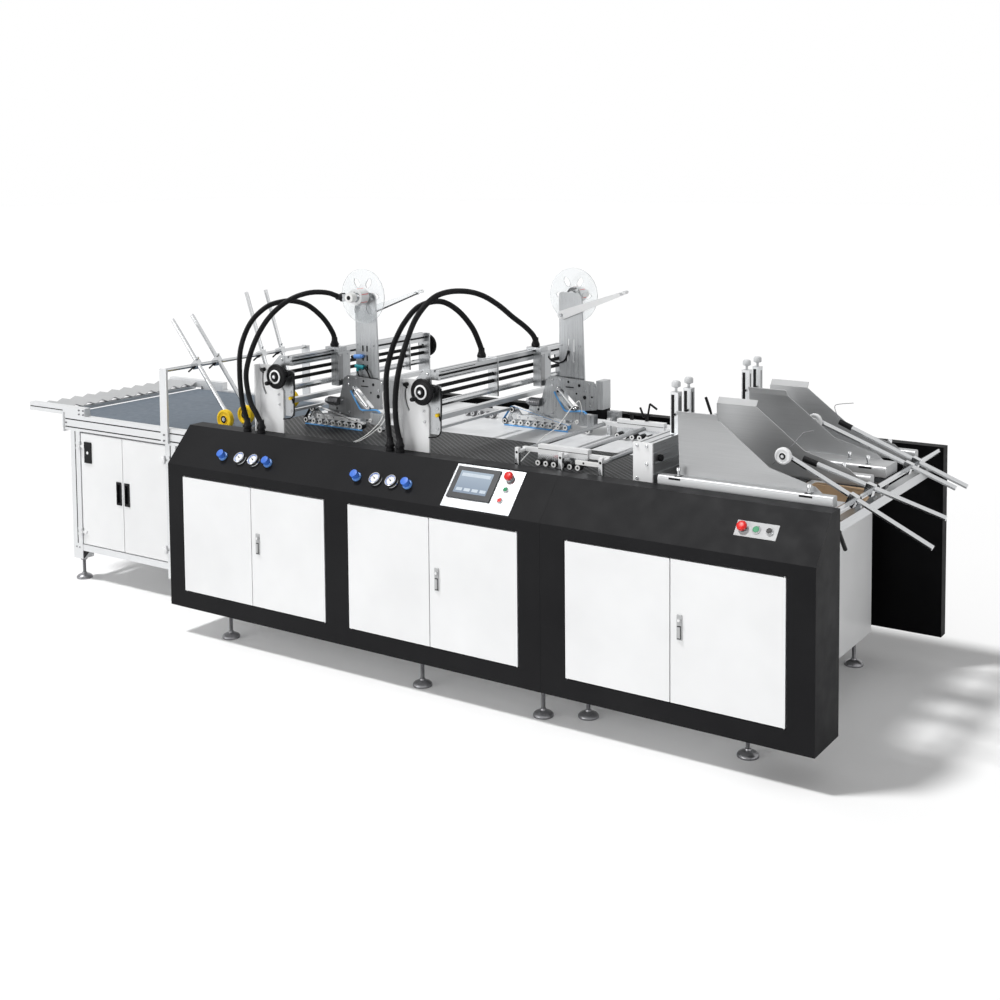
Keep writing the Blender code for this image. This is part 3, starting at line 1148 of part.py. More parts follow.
def smooth_route(points, step):
    """Points a step apart on a Catmull-Rom curve, with a straight run into each end."""
    knots = [Vector(p) for p in points]
    fine = []
    for a, b, c, d in zip(knots, knots[1:], knots[2:], knots[3:]):
        for i in range(24):
            t = i / 24
            fine.append(0.5 * ((2 * b) + (c - a) * t + (2 * a - 5 * b + 4 * c - d) * t * t
                               + (3 * b - a - 3 * c + d) * t ** 3))
    fine.append(knots[-2])
    total = sum((q - p).length for p, q in zip(fine, fine[1:]))
    count = max(2, round(total / step))
    spaced = [fine[0]]
    travelled = 0.0
    for p, q in zip(fine, fine[1:]):
        length = (q - p).length
        while len(spaced) < count and travelled + length >= total * len(spaced) / count:
            share = (total * len(spaced) / count - travelled) / length
            spaced.append(p.lerp(q, share))
        travelled += length
    spaced.append(fine[-1])
    return [knots[0]] + spaced + [knots[-1]]


def conduit(number, points):
    curve = bpy.data.curves.new(f"conduit_{number}", "CURVE")
    curve.dimensions = "3D"
    curve.bevel_depth = CONDUIT_RADIUS
    curve.bevel_resolution = 2
    curve.use_fill_caps = True
    route = smooth_route(points, CONDUIT_STEP)
    spline = curve.splines.new("POLY")
    spline.points.add(len(route) - 1)
    for target, point in zip(spline.points, route):
        target.co = (*point, 1.0)
    obj = bpy.data.objects.new(f"conduit_{number}", curve)
    bpy.context.scene.collection.objects.link(obj)
    finish_object(obj, "rubber")


# Feeder


def guide(number, y, bar):
    """A side guide: sheet with a bent lip on top, fixed to the side of a base bar."""
    base_z = DECK_TOP + GAP
    y1 = y + GUIDE_SHEET
    start = GUIDE_BAR_X[0]
    outline = [(start + x, DECK_TOP + z) for x, z in GUIDE_OUTLINE]
    away = -1 if bar < 0 else 1
    lip_y = y if away < 0 else y1
    fold = DECK_TOP + GUIDE_HEIGHT - 0.002
    lip = [(lip_y, fold), (lip_y + away * GUIDE_LIP[0], fold + GUIDE_LIP[1]),
           (lip_y + away * GUIDE_LIP[0] - away * 0.0035, fold + GUIDE_LIP[1] + 0.0015),
           (lip_y - away * GUIDE_SHEET, fold + 0.003)]
    bar_y0, bar_y1 = (y + bar, y + 0.001) if bar < 0 else (y1 - 0.001, y1 + bar)
    radius = 0.012
    section = [(bar_y0, base_z), (bar_y1, base_z)]
    section += arc((bar_y1 - radius, GUIDE_BAR_TOP - radius), radius, 0, 90, 3)
    section += arc((bar_y0 + radius, GUIDE_BAR_TOP - radius), radius, 90, 180, 3)
    adds = [prism(section, "X", *GUIDE_BAR_X),
            prism(outline, "Y", y, y1),
            prism(lip, "X", outline[1][0] + 0.002, outline[2][0] - 0.002)]
    return piece(f"side_guide_{number}", "steel", adds)


def crossbeam():
    x0, x1 = BEAM_X
    z0, z1 = DECK_TOP + GAP, BEAM_TOP
    mid = (x0 + x1) / 2
    slot = 0.008
    outline = [(x0, z0), (x1, z0)]
    for z in (z0 + 0.040, (z0 + z1) / 2, z1 - 0.040):
        low, high = z - slot / 2, z + slot / 2
        outline += [(x1, low), (x1 - slot, low), (x1 - slot, high), (x1, high)]
    outline += [(x1, z1)]
    for x in (mid + 0.020, mid - 0.020):
        left, right = x - slot / 2, x + slot / 2
        outline += [(right, z1), (right, z1 - slot), (left, z1 - slot), (left, z1)]
    outline += [(x0, z1)]
    adds = [prism(outline, "Y", *BEAM_Y),
            box(*BEAM_END_X, BEAM_END_Y, BEAM_Y[0] + 0.001, z0, z1 + 0.002)]
    columns, knobs = [], []
    half = COLUMN_SIZE / 2
    column_x = x1 - half
    for y in COLUMN_Y:
        columns.append(box(column_x - half, x1, y - half, y + half, z1 - 0.012, z1 + COLUMN_HEIGHT))
        profile = ((0, -0.005), (0.006, -0.005), (0.006, 0.016), (COLUMN_KNOB_RADIUS, 0.022),
                   (COLUMN_KNOB_RADIUS, 0.038), (COLUMN_KNOB_RADIUS * 0.7, 0.045), (0, 0.045))
        knobs.append(turned(profile, 8, Matrix.Translation((column_x, y, z1 + COLUMN_HEIGHT))))
    adds += [group(*columns), group(*knobs)]
    return piece("infeed_crossbeam", "aluminium", adds)


def register_bar(y):
    """One bar with a row of hold-down rollers below it and a carrier that holds their pins."""
    x0, x1 = REGISTER_BAR_X
    depth, height = REGISTER_BAR
    roller_z = DECK_TOP + RUNNING_GAP + REGISTER_RADIUS
    adds = [box(x0, x1, y, y + depth, REGISTER_BAR_Z, REGISTER_BAR_Z + height),
            box(x0, x1, y, y + 0.008, roller_z, REGISTER_BAR_Z + 0.001)]
    rollers = []
    for i in range(REGISTER_ROLLERS):
        x = x0 + REGISTER_RADIUS + i * REGISTER_PITCH
        rollers.append(rod((x, y - 0.024, roller_z), (x, y + 0.002, roller_z), REGISTER_RADIUS))
    return adds + [group(*rollers)]


def register_guide():
    """Front and rear roller bars, tied together by three cross tubes that stand on posts."""
    front, rear = REGISTER_Y
    half = REGISTER_POST / 2
    base = DECK_TOP + GAP
    tubes, posts, arms = [], [], []
    for x in REGISTER_TUBES:
        tubes.append(rod((x, front - 0.050, REGISTER_TUBE_Z), (x, rear + 0.065, REGISTER_TUBE_Z),
                         REGISTER_TUBE_RADIUS))
        for y in (front - 0.045, rear + 0.060):
            posts.append(box(x - half, x + half, y - half, y + half, base, REGISTER_TUBE_Z + 0.020))
    for y in REGISTER_Y:
        arms.append(box(REGISTER_TUBES[0] - half, REGISTER_TUBES[-1] + half, y + 0.006, y + 0.024,
                        REGISTER_TUBE_Z - 0.004, REGISTER_TUBE_Z + 0.014))
    adds = [group(*arms), group(*tubes)]
    for y in REGISTER_Y:
        adds += register_bar(y)
    adds.append(group(*posts))
    return piece("register_guide", "white", adds)


def support_rod_ends(angle, upper, lower):
    slope = math.radians(angle)
    direction = Vector((math.cos(slope), -math.sin(slope)))
    across = Vector((math.sin(slope), math.cos(slope)))
    clamp = Vector(ROD_SHAFT) + across * ROD_OFFSET
    return clamp, clamp - direction * upper, clamp + direction * lower


def rod_support():
    x, z = ROD_SHAFT
    adds = [rod((x, BODY_DEPTH + GAP, z), (x, REAR_INNER_Y - GAP, z), CROSSBAR_RADIUS)]
    clamps, rods, axles = [], [], []
    for y, angle, upper, lower in SUPPORT_RODS:
        clamp, top, end = support_rod_ends(angle, upper, lower)
        direction = (end - top).normalized() * CLAMP_SIZE / 2
        centre = (clamp + Vector((x, z))) / 2
        clamps.append(block_along((centre.x - direction.x, y, centre.y - direction.y),
                                  (centre.x + direction.x, y, centre.y + direction.y),
                                  CLAMP_WIDTH, CLAMP_SIZE))
        rods.append(rod((top.x, y, top.y), (end.x, y, end.y), ROD_RADIUS))
        axles.append(rod((top.x, y + ROD_RADIUS + 0.004, top.y),
                         (top.x, y - ROD_RADIUS - SUPPORT_WHEEL_WIDTH - 0.008, top.y), AXLE_RADIUS, 12))
    adds += [group(*clamps), group(*rods), group(axles[0], axles[2])]
    return piece("rod_support", "steel", adds)


def feed_conveyor():
    half = FEED_BELT_WIDTH / 2
    radius = FEED_PULLEY_RADIUS
    shafts = [rod((x, BODY_DEPTH + GAP, FEED_SHAFT_Z), (x, REAR_INNER_Y - GAP, FEED_SHAFT_Z), 0.008)
              for x in FEED_SHAFT_X]
    loops = [prism(loop_outline(FEED_SHAFT_X[0] - radius, FEED_SHAFT_X[1] + radius,
                                FEED_SHAFT_Z - radius, FEED_SHAFT_Z + radius, 8), "Y", y - half, y + half)
             for y in FEED_BELT_Y]
    x0, x1, z0, z1 = INFEED_BEAM
    shaft_x = FEED_SHAFT_X[1]
    plates = [box(shaft_x - 0.012, shaft_x + 0.012, y - half - 0.012, y - half + 0.001, z0 + 0.010,
                  FEED_SHAFT_Z + 0.012) for y in FEED_BELT_Y]
    beam = box(x0, x1, BODY_DEPTH + GAP, REAR_INNER_Y - GAP, z0, z1)
    return piece("feed_conveyor", "black", [group(*shafts), group(*loops), group(*plates), beam])


def make_feeder():
    for number, (y, bar) in enumerate(zip(GUIDE_Y, GUIDE_BARS), 1):
        guide(number, y, bar)
    crossbeam()
    register_guide()
    rod_support()
    for number, index in enumerate((0, 2), 1):
        y, angle, upper, lower = SUPPORT_RODS[index]
        top = support_rod_ends(angle, upper, lower)[1]
        centre_y = y - ROD_RADIUS - 0.006 - SUPPORT_WHEEL_WIDTH / 2
        roller_wheel(f"support_wheel_{number}", "white", (top.x, centre_y, top.y),
                     SUPPORT_WHEEL_RADIUS, SUPPORT_WHEEL_WIDTH, AXLE_RADIUS + GAP)
    feed_conveyor()


def main():
    start_empty_scene()
    machine = bpy.data.objects.new("machine", None)
    bpy.context.scene.collection.objects.link(machine)
    machine.location = (-FEET_LEFT[ORIGIN_FOOT], -FOOT_FRONT_Y, 0.0)
    make_console()
    make_outfeed()
    make_gantries()
    for number, points in enumerate(CONDUIT_ROUTES, 1):
        conduit(number, points)
    make_feeder()


main()
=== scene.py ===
"""Looks of the tape applicator machine: materials, small parts, light and camera."""
import math

import bmesh
import bpy
from mathutils import Matrix, Vector


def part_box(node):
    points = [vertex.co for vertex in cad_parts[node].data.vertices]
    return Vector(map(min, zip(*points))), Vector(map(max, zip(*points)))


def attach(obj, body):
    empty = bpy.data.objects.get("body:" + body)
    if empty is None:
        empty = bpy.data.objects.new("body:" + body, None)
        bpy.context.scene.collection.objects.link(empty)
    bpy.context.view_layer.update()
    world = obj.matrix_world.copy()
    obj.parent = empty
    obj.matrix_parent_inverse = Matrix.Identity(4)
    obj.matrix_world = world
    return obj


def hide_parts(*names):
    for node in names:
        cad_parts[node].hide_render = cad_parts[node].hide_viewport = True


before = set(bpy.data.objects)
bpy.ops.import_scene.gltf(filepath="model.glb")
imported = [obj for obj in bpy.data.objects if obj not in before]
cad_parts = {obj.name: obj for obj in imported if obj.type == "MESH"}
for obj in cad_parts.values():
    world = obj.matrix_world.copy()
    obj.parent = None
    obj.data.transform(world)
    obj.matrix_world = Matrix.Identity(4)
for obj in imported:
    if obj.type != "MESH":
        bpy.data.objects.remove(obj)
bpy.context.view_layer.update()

# The row's origin lies under a console foot; positions below are from the console's left end
ORIGIN = Vector((1.457, 0.1, 0.0))


def at(x, y, z):
    return Vector((x, y, z)) - ORIGIN


# Each gantry's number and where it starts along the console, and each head's centre in Y
GANTRIES = ((1, 0.0), (2, 0.862))
HEAD_Y = (0.515, 1.0)


# Camera

# The camera that was fitted to the photograph: angles in radians, focal length in pixels
CAMERA_PLACE = (5.0959, -4.67414, 2.28756)
CAMERA_ANGLES = (0.59227, -0.07107, -0.00861)
FOCAL_PIXELS = 1404.37
PHOTO_PIXELS = 1000.0
SENSOR_WIDTH = 36.0
CAMERA_SHIFT_Y = -0.24


def make_camera():
    yaw, pitch, roll = CAMERA_ANGLES
    forward = Vector((-math.sin(yaw) * math.cos(pitch), math.cos(yaw) * math.cos(pitch), math.sin(pitch)))
    right = Vector((math.cos(yaw), math.sin(yaw), 0.0))
    up = right.cross(forward)
    axis_x = right * math.cos(roll) + up * math.sin(roll)
    axis_y = up * math.cos(roll) - right * math.sin(roll)
    data = bpy.data.cameras.new("camera")
    data.sensor_width = SENSOR_WIDTH
    data.lens = FOCAL_PIXELS * SENSOR_WIDTH / PHOTO_PIXELS
    data.shift_y = CAMERA_SHIFT_Y
    data.clip_end = 100.0
    camera = bpy.data.objects.new("camera", data)
    bpy.context.scene.collection.objects.link(camera)
    place = at(*CAMERA_PLACE)
    camera.matrix_world = Matrix((
        (axis_x.x, axis_y.x, -forward.x, place.x),
        (axis_x.y, axis_y.y, -forward.y, place.y),
        (axis_x.z, axis_y.z, -forward.z, place.z),
        (0.0, 0.0, 0.0, 1.0)))
    bpy.context.scene.camera = camera


make_camera()


# Shapes

def box(x0, x1, y0, y1, z0, z1):
    bm = bmesh.new()
    bmesh.ops.create_cube(bm, size=1.0)
    for vert in bm.verts:
        vert.co.x = x0 if vert.co.x < 0 else x1
        vert.co.y = y0 if vert.co.y < 0 else y1
        vert.co.z = z0 if vert.co.z < 0 else z1
    return bm


def prism(outline, axis, start, end):
    """Extrude a closed outline along an axis; the outline holds the other two coordinates."""
    order = {"X": (2, 0, 1), "Y": (0, 2, 1), "Z": (0, 1, 2)}[axis]
    bm = bmesh.new()
    rings = []
    for level in (start, end):
        ring = []
        for first, second in outline:
            values = (first, second, level)
            ring.append(bm.verts.new([values[i] for i in order]))
        rings.append(ring)
    bm.faces.new(rings[0])
    bm.faces.new(list(reversed(rings[1])))
    count = len(outline)
    for i in range(count):
        j = (i + 1) % count
        bm.faces.new((rings[0][i], rings[1][i], rings[1][j], rings[0][j]))
    return bm


def turned(profile, sides, matrix=None):
    """Revolve (radius, height) points about Z; points on the axis close the ends."""
    bm = bmesh.new()
    rings = []
    for radius, height in profile:
        if radius < 1e-6:
            rings.append([bm.verts.new((0.0, 0.0, height))])
            continue
        ring = []
        for i in range(sides):
            angle = 2 * math.pi * i / sides
            ring.append(bm.verts.new((radius * math.cos(angle), radius * math.sin(angle), height)))
        rings.append(ring)
    pairs = list(zip(rings, rings[1:]))
    if profile[0][0] > 1e-6:
        pairs.append((rings[-1], rings[0]))
    for low, high in pairs:
        for i in range(sides):
            j = (i + 1) % sides
            if len(low) == 1:
                bm.faces.new((low[0], high[j], high[i]))
            elif len(high) == 1:
                bm.faces.new((low[i], low[j], high[0]))
            else:
                bm.faces.new((low[i], low[j], high[j], high[i]))
    if matrix is not None:
        bm.transform(matrix)
    return bm


def along(start, end):
    """Matrix that takes the Z axis to the line from start to end, with its origin at start."""
    start = Vector(start)
    direction = (Vector(end) - start).normalized()
    return Matrix.Translation(start) @ direction.to_track_quat("Z", "Y").to_matrix().to_4x4()


def rod(start, end, radius, sides=20, bevel=0.0):
    length = (Vector(end) - Vector(start)).length
    profile = [(0, 0), (radius, 0), (radius, length), (0, length)]
    if bevel:
        profile = [(0, 0), (radius - bevel, 0), (radius, bevel), (radius, length - bevel),
                   (radius - bevel, length), (0, length)]
    return turned(profile, sides, along(start, end))


def arc(centre, radius, start, end, steps):
    """Points on an arc, with angles in degrees, from start to end."""
    points = []
    for i in range(steps + 1):
        angle = math.radians(start + (end - start) * i / steps)
        points.append((centre[0] + radius * math.cos(angle), centre[1] + radius * math.sin(angle)))
    return points


def swept(points, rings, sides):
    """Tube along a route of closely spaced points; rings holds (distance along it, radius)."""
    points = [Vector(p) for p in points]
    lengths = [0.0]
    for p, q in zip(points, points[1:]):
        lengths.append(lengths[-1] + (q - p).length)
    bm = bmesh.new()
    side = None
    last = None
    index = 0
    for distance, radius in rings:
        while index < len(points) - 2 and lengths[index + 1] < distance:
            index += 1
        step = lengths[index + 1] - lengths[index]
        centre = points[index].lerp(points[index + 1], min(1.0, max(0.0, (distance - lengths[index]) / step)))
        near = points[max(index - 1, 0)]
        far = points[min(index + 2, len(points) - 1)]
        forward = (far - near).normalized()
        if side is None:
            side = forward.orthogonal().normalized()
        side = (side - forward * side.dot(forward)).normalized()
        up = forward.cross(side)
        ring = []
        for i in range(sides):
            angle = 2 * math.pi * i / sides
            ring.append(bm.verts.new(centre + (side * math.cos(angle) + up * math.sin(angle)) * radius))
        if last is not None:
            for i in range(sides):
                j = (i + 1) % sides
                bm.faces.new((last[i], last[j], ring[j], ring[i]))
        else:
            bm.faces.new(list(reversed(ring)))
        last = ring
    bm.faces.new(last)
    return bm


def catmull(points, steps):
    """Smooth route through the inner points, with a straight run into each end."""
    knots = [Vector(p) for p in points]
    fine = [knots[0]]
    for a, b, c, d in zip(knots, knots[1:], knots[2:], knots[3:]):
        for i in range(steps):
            t = i / steps
            fine.append(0.5 * ((2 * b) + (c - a) * t + (2 * a - 5 * b + 4 * c - d) * t * t
                               + (3 * b - a - 3 * c + d) * t ** 3))
    return fine + [knots[-2], knots[-1]]


def route_length(points):
    return sum((Vector(q) - Vector(p)).length for p, q in zip(points, points[1:]))


def tube(points, radius, sides=10, steps=10):
    """Plain round tube along a smooth route."""
    fine = catmull(points, steps)
    spacing = [0.0]
    for p, q in zip(fine, fine[1:]):
        spacing.append(spacing[-1] + (q - p).length)
    return swept(fine, [(s, radius) for s in spacing], sides)


def piece(name, shapes, material, body="machine", slot=None, bevel=0.0, angle=38.0):
    """Join shapes drawn in the console's frame into one piece that rides on a body."""
    mesh = bpy.data.meshes.new(name)
    whole = bmesh.new()
    for shape in shapes:
        part = bpy.data.meshes.new("part")
        bmesh.ops.recalc_face_normals(shape, faces=shape.faces)
        shape.to_mesh(part)
        shape.free()
        whole.from_mesh(part)
        bpy.data.meshes.remove(part)
    whole.transform(Matrix.Translation(-ORIGIN))
    whole.to_mesh(mesh)
    whole.free()
    mesh.shade_smooth()
    mesh.set_sharp_from_angle(angle=math.radians(angle))
    mesh.materials.append(material)
    obj = bpy.data.objects.new(name, mesh)
    bpy.context.scene.collection.objects.link(obj)
    if bevel:
        modifier = obj.modifiers.new("Bevel", "BEVEL")
        modifier.width = bevel
        modifier.segments = 2
        modifier.limit_method = "ANGLE"
        modifier.angle_limit = math.radians(angle)
        modifier.harden_normals = True
    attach(obj, body)
    return obj


# Materials

class Nodes:
    """Small helper that adds nodes to one material and links them."""

    def __init__(self, name):
        self.material = bpy.data.materials.new(name)
        self.material.use_nodes = True
        self.tree = self.material.node_tree
        self.shader = self.tree.nodes["Principled BSDF"]
        self.place = self.add("ShaderNodeTexCoord").outputs["Object"]

    def add(self, kind, **values):
        node = self.tree.nodes.new(kind)
        for key, value in values.items():
            setattr(node, key, value)
        return node

    def link(self, source, target):
        self.tree.links.new(source, target)

    def stretched(self, scale):
        mapping = self.add("ShaderNodeMapping")
        mapping.inputs["Scale"].default_value = scale
        self.link(self.place, mapping.inputs["Vector"])
        return mapping.outputs["Vector"]

    def noise(self, scale, stretch=(1, 1, 1), detail=3.0):
        node = self.add("ShaderNodeTexNoise")
        node.inputs["Scale"].default_value = scale
        node.inputs["Detail"].default_value = detail
        self.link(self.stretched(stretch), node.inputs["Vector"])
        return node.outputs["Fac"]

    def ramp(self, value, low, high, start=0.3, end=0.7):
        node = self.add("ShaderNodeMapRange")
        node.inputs["From Min"].default_value = start
        node.inputs["From Max"].default_value = end
        node.inputs["To Min"].default_value = low
        node.inputs["To Max"].default_value = high
        self.link(value, node.inputs["Value"])
        return node.outputs["Result"]

    def mix(self, value, first, second):
        node = self.add("ShaderNodeMix", data_type="RGBA")
        for socket, colour in (("A", first), ("B", second)):
            target = [s for s in node.inputs if s.name == socket and s.type == "RGBA"][0]
            if hasattr(colour, "links"):
                self.link(colour, target)
            else:
                target.default_value = (*colour, 1.0)
        self.link(value, node.inputs["Factor"])
        return [s for s in node.outputs if s.type == "RGBA"][0]

    def math(self, operation, first, second=0.0, third=0.0):
        node = self.add("ShaderNodeMath", operation=operation)
        for i, value in enumerate((first, second, third)):
            if hasattr(value, "links"):
                self.link(value, node.inputs[i])
            else:
                node.inputs[i].default_value = value
        return node.outputs["Value"]

    def bump(self, height, strength, distance=0.001):
        node = self.add("ShaderNodeBump")
        node.inputs["Strength"].default_value = strength
        node.inputs["Distance"].default_value = distance
        self.link(height, node.inputs["Height"])
        self.link(node.outputs["Normal"], self.shader.inputs["Normal"])

    def set(self, **values):
        for name, value in values.items():
            socket = self.shader.inputs[name.replace("_", " ")]
            if hasattr(value, "links"):
                self.link(value, socket)
            elif isinstance(value, tuple):
                socket.default_value = (*value, 1.0)
            else:
                socket.default_value = value


def powder_coat(name, dark, light, roughness, grain=900.0, gloss=0.5):
    """Painted sheet: fine orange-peel grain, broad tone drift and slightly worn gloss."""
    m = Nodes(name)
    m.set(Base_Color=m.mix(m.ramp(m.noise(3.0), 0.0, 1.0), dark, light))
    m.set(Roughness=m.ramp(m.noise(14.0), roughness - 0.04, roughness + 0.05), Specular_IOR_Level=gloss)
    m.bump(m.noise(grain, detail=2.0), 0.12, 0.0004)
    return m.material


def brushed(name, dark, light, stretch, roughness=0.3, metallic=1.0):
    """Brushed metal: long streaks that run along one direction in tone, gloss and relief."""
    m = Nodes(name)
    streaks = m.noise(60.0, stretch, 4.0)
    m.set(Metallic=metallic, Base_Color=m.mix(m.ramp(streaks, 0.0, 1.0), dark, light))
    m.set(Roughness=m.ramp(streaks, roughness - 0.06, roughness + 0.08))
    m.bump(streaks, 0.05, 0.0002)
    return m.material


def plastic(name, dark, light, roughness, gloss=0.3):
    m = Nodes(name)
    m.set(Base_Color=m.mix(m.ramp(m.noise(20.0), 0.0, 1.0), dark, light))
    m.set(Roughness=m.ramp(m.noise(60.0), roughness - 0.05, roughness + 0.05), Specular_IOR_Level=gloss)
    m.bump(m.noise(500.0, detail=2.0), 0.1, 0.0003)
    return m.material


BLACK = powder_coat("black_powder_coat", (0.012, 0.012, 0.013), (0.016, 0.016, 0.017), 0.45, gloss=0.05)
# The rear cover gets a darker copy of the black coat: painted shade, so that it sits darker than the front
# covers
SHADED_BLACK = powder_coat("shaded_black_coat", (0.0025, 0.0025, 0.0028), (0.004, 0.004, 0.0045), 0.5, gloss=0.05)
WHITE = powder_coat("white_powder_coat", (0.79, 0.795, 0.8), (0.85, 0.855, 0.86), 0.35)
GREY = powder_coat("grey_paint", (0.55, 0.56, 0.57), (0.62, 0.63, 0.64), 0.4)
STEEL = brushed("brushed_stainless", (0.34, 0.35, 0.36), (0.42, 0.43, 0.44), (0.1, 12.0, 12.0))
STEEL_UP = brushed("brushed_stainless_upright", (0.34, 0.35, 0.36), (0.42, 0.43, 0.44), (12.0, 12.0, 0.1))
ALUMINIUM = brushed("anodised_profile", (0.5, 0.51, 0.52), (0.6, 0.61, 0.62), (10.0, 0.1, 10.0), 0.32)
PROFILE = brushed("table_profile", (0.66, 0.67, 0.68), (0.76, 0.77, 0.78), (10.0, 0.1, 10.0), 0.38, 0.45)
FOOT_STEEL = brushed("polished_foot", (0.34, 0.34, 0.35), (0.46, 0.46, 0.47), (6.0, 6.0, 6.0), 0.16)
CHROME = brushed("ground_rod", (0.52, 0.53, 0.54), (0.64, 0.65, 0.66), (6.0, 6.0, 6.0), 0.14)
GUIDE_STEEL = brushed("guide_sheet_steel", (0.38, 0.385, 0.39), (0.44, 0.445, 0.45), (0.08, 12.0, 12.0), 0.4,
                      0.6)
SATIN = powder_coat("satin_plate", (0.78, 0.785, 0.79), (0.84, 0.845, 0.85), 0.38, gloss=0.35)
TRAY = powder_coat("bead_blasted_tray", (0.43, 0.435, 0.44), (0.48, 0.485, 0.49), 0.45, gloss=0.3)
RUBBER = plastic("black_rubber", (0.008, 0.008, 0.009), (0.016, 0.016, 0.017), 0.55, 0.14)
BLACK_PLASTIC = plastic("black_plastic", (0.006, 0.006, 0.007), (0.014, 0.014, 0.015), 0.35, 0.12)
BLUE_PLASTIC = plastic("blue_plastic", (0.045, 0.155, 0.6), (0.065, 0.195, 0.7), 0.35)
YELLOW = plastic("yellow_tyre", (0.92, 0.6, 0.01), (0.98, 0.68, 0.016), 0.45)
BLUE_BELT = plastic("light_blue_belt", (0.1, 0.34, 0.72), (0.16, 0.44, 0.82), 0.5)
RED_PLASTIC = plastic("red_plastic", (0.6, 0.01, 0.01), (0.78, 0.025, 0.02), 0.32)
GREEN_PLASTIC = plastic("green_plastic", (0.002, 0.2, 0.075), (0.004, 0.27, 0.1), 0.45)
TAN_BELT = plastic("tan_belt", (0.36, 0.24, 0.14), (0.44, 0.3, 0.18), 0.6)
TEAL = plastic("teal_plastic", (0.01, 0.22, 0.26), (0.016, 0.3, 0.34), 0.35)
DARK_STEEL = brushed("dark_steel", (0.2, 0.2, 0.21), (0.3, 0.3, 0.31), (4.0, 4.0, 4.0), 0.34)
PLATE_STEEL = brushed("head_plate_steel", (0.21, 0.215, 0.22), (0.3, 0.305, 0.31), (10.0, 10.0, 0.1), 0.36)
DARK_GREY = plastic("dark_grey_plastic", (0.03, 0.032, 0.035), (0.045, 0.047, 0.05), 0.4)
LIGHT_BLUE = plastic("light_blue_plastic", (0.1, 0.25, 0.62), (0.16, 0.34, 0.74), 0.35)
DIAL = plastic("dial_white", (0.82, 0.82, 0.81), (0.86, 0.86, 0.85), 0.45)
FIELD = plastic("display_field", (0.48, 0.55, 0.62), (0.56, 0.62, 0.68), 0.25)


def belt_material():
    m = Nodes("blue_grey_belt")
    m.set(Base_Color=m.mix(m.ramp(m.noise(2.0), 0.0, 1.0), (0.12, 0.145, 0.175), (0.145, 0.175, 0.21)))
    m.set(Roughness=m.ramp(m.noise(30.0), 0.5, 0.62), Specular_IOR_Level=0.12)
    m.bump(m.noise(700.0, (1.0, 3.0, 1.0)), 0.15, 0.0004)
    return m.material


DECK_SPLIT_Y = 0.7
SLOT_PITCH = (0.034, 0.014)
SLOT_HALF = 0.009


def deck_material():
    """Dark sheet with staggered slots punched along X in front, plain pale sheet behind; the slots are near
    black, painted shade.
    """
    m = Nodes("perforated_deck")
    split = m.add("ShaderNodeSeparateXYZ")
    m.link(m.place, split.inputs["Vector"])
    along_x, across = split.outputs["X"], split.outputs["Y"]
    pitch_x, pitch_y = SLOT_PITCH
    row = m.math("FLOOR", m.math("DIVIDE", across, pitch_y))
    shift = m.math("MULTIPLY", m.math("FLOORED_MODULO", row, 2.0), pitch_x / 2)
    u = m.math("SUBTRACT", m.math("FLOORED_MODULO", m.math("ADD", along_x, shift), pitch_x), pitch_x / 2)
    v = m.math("SUBTRACT", m.math("FLOORED_MODULO", across, pitch_y), pitch_y / 2)
    beyond = m.math("MAXIMUM", m.math("SUBTRACT", m.math("ABSOLUTE", u), SLOT_HALF), 0.0)
    distance = m.math("SQRT", m.math("ADD", m.math("MULTIPLY", beyond, beyond), m.math("MULTIPLY", v, v)))
    front = m.math("LESS_THAN", across, DECK_SPLIT_Y - ORIGIN.y)
    hole = m.math("MULTIPLY", m.ramp(distance, 1.0, 0.0, 0.003, 0.0034), front)
    tone = m.ramp(m.noise(9.0), 0.0, 1.0)
    dark = m.mix(tone, (0.032, 0.033, 0.034), (0.042, 0.043, 0.044))
    pale = m.mix(tone, (0.66, 0.67, 0.68), (0.74, 0.75, 0.76))
    # Near black inside the slots: painted shade standing in for the dark space under the sheet
    m.set(Base_Color=m.mix(hole, m.mix(front, pale, dark), (0.006, 0.006, 0.006)))
    m.set(Specular_IOR_Level=0.15, Roughness=m.ramp(hole, 0.42, 0.9, 0.0, 1.0))
    m.bump(hole, -0.5, 0.001)
    return m.material


def clear_material():
    m = Nodes("clear_acrylic")
    m.set(Base_Color=(0.95, 0.97, 0.98), Roughness=m.ramp(m.noise(40.0), 0.03, 0.1))
    m.set(Transmission_Weight=0.9, IOR=1.45)
    return m.material


def screen_material():
    """Touch panel: dim blue-grey display that lightens upwards, with a faint grid of fields."""
    m = Nodes("display_glass")
    split = m.add("ShaderNodeSeparateXYZ")
    m.link(m.place, split.inputs["Vector"])
    height = m.ramp(split.outputs["Z"], 0.0, 1.0, 0.87, 0.97)
    m.set(Base_Color=m.mix(height, (0.16, 0.21, 0.29), (0.33, 0.4, 0.48)))
    m.set(Roughness=m.ramp(m.noise(25.0), 0.06, 0.12), Coat_Weight=0.6)
    return m.material


BELT = belt_material()
DECK = deck_material()
CLEAR = clear_material()
SCREEN = screen_material()


def black(name, shapes, **more):
    return piece(name, shapes, BLACK_PLASTIC, slot="black_plastic", **more)


def chrome(name, shapes, **more):
    return piece(name, shapes, CHROME, slot="steel", **more)


def dark_steel(name, shapes, **more):
    return piece(name, shapes, DARK_STEEL, slot="steel", **more)


# Conduits

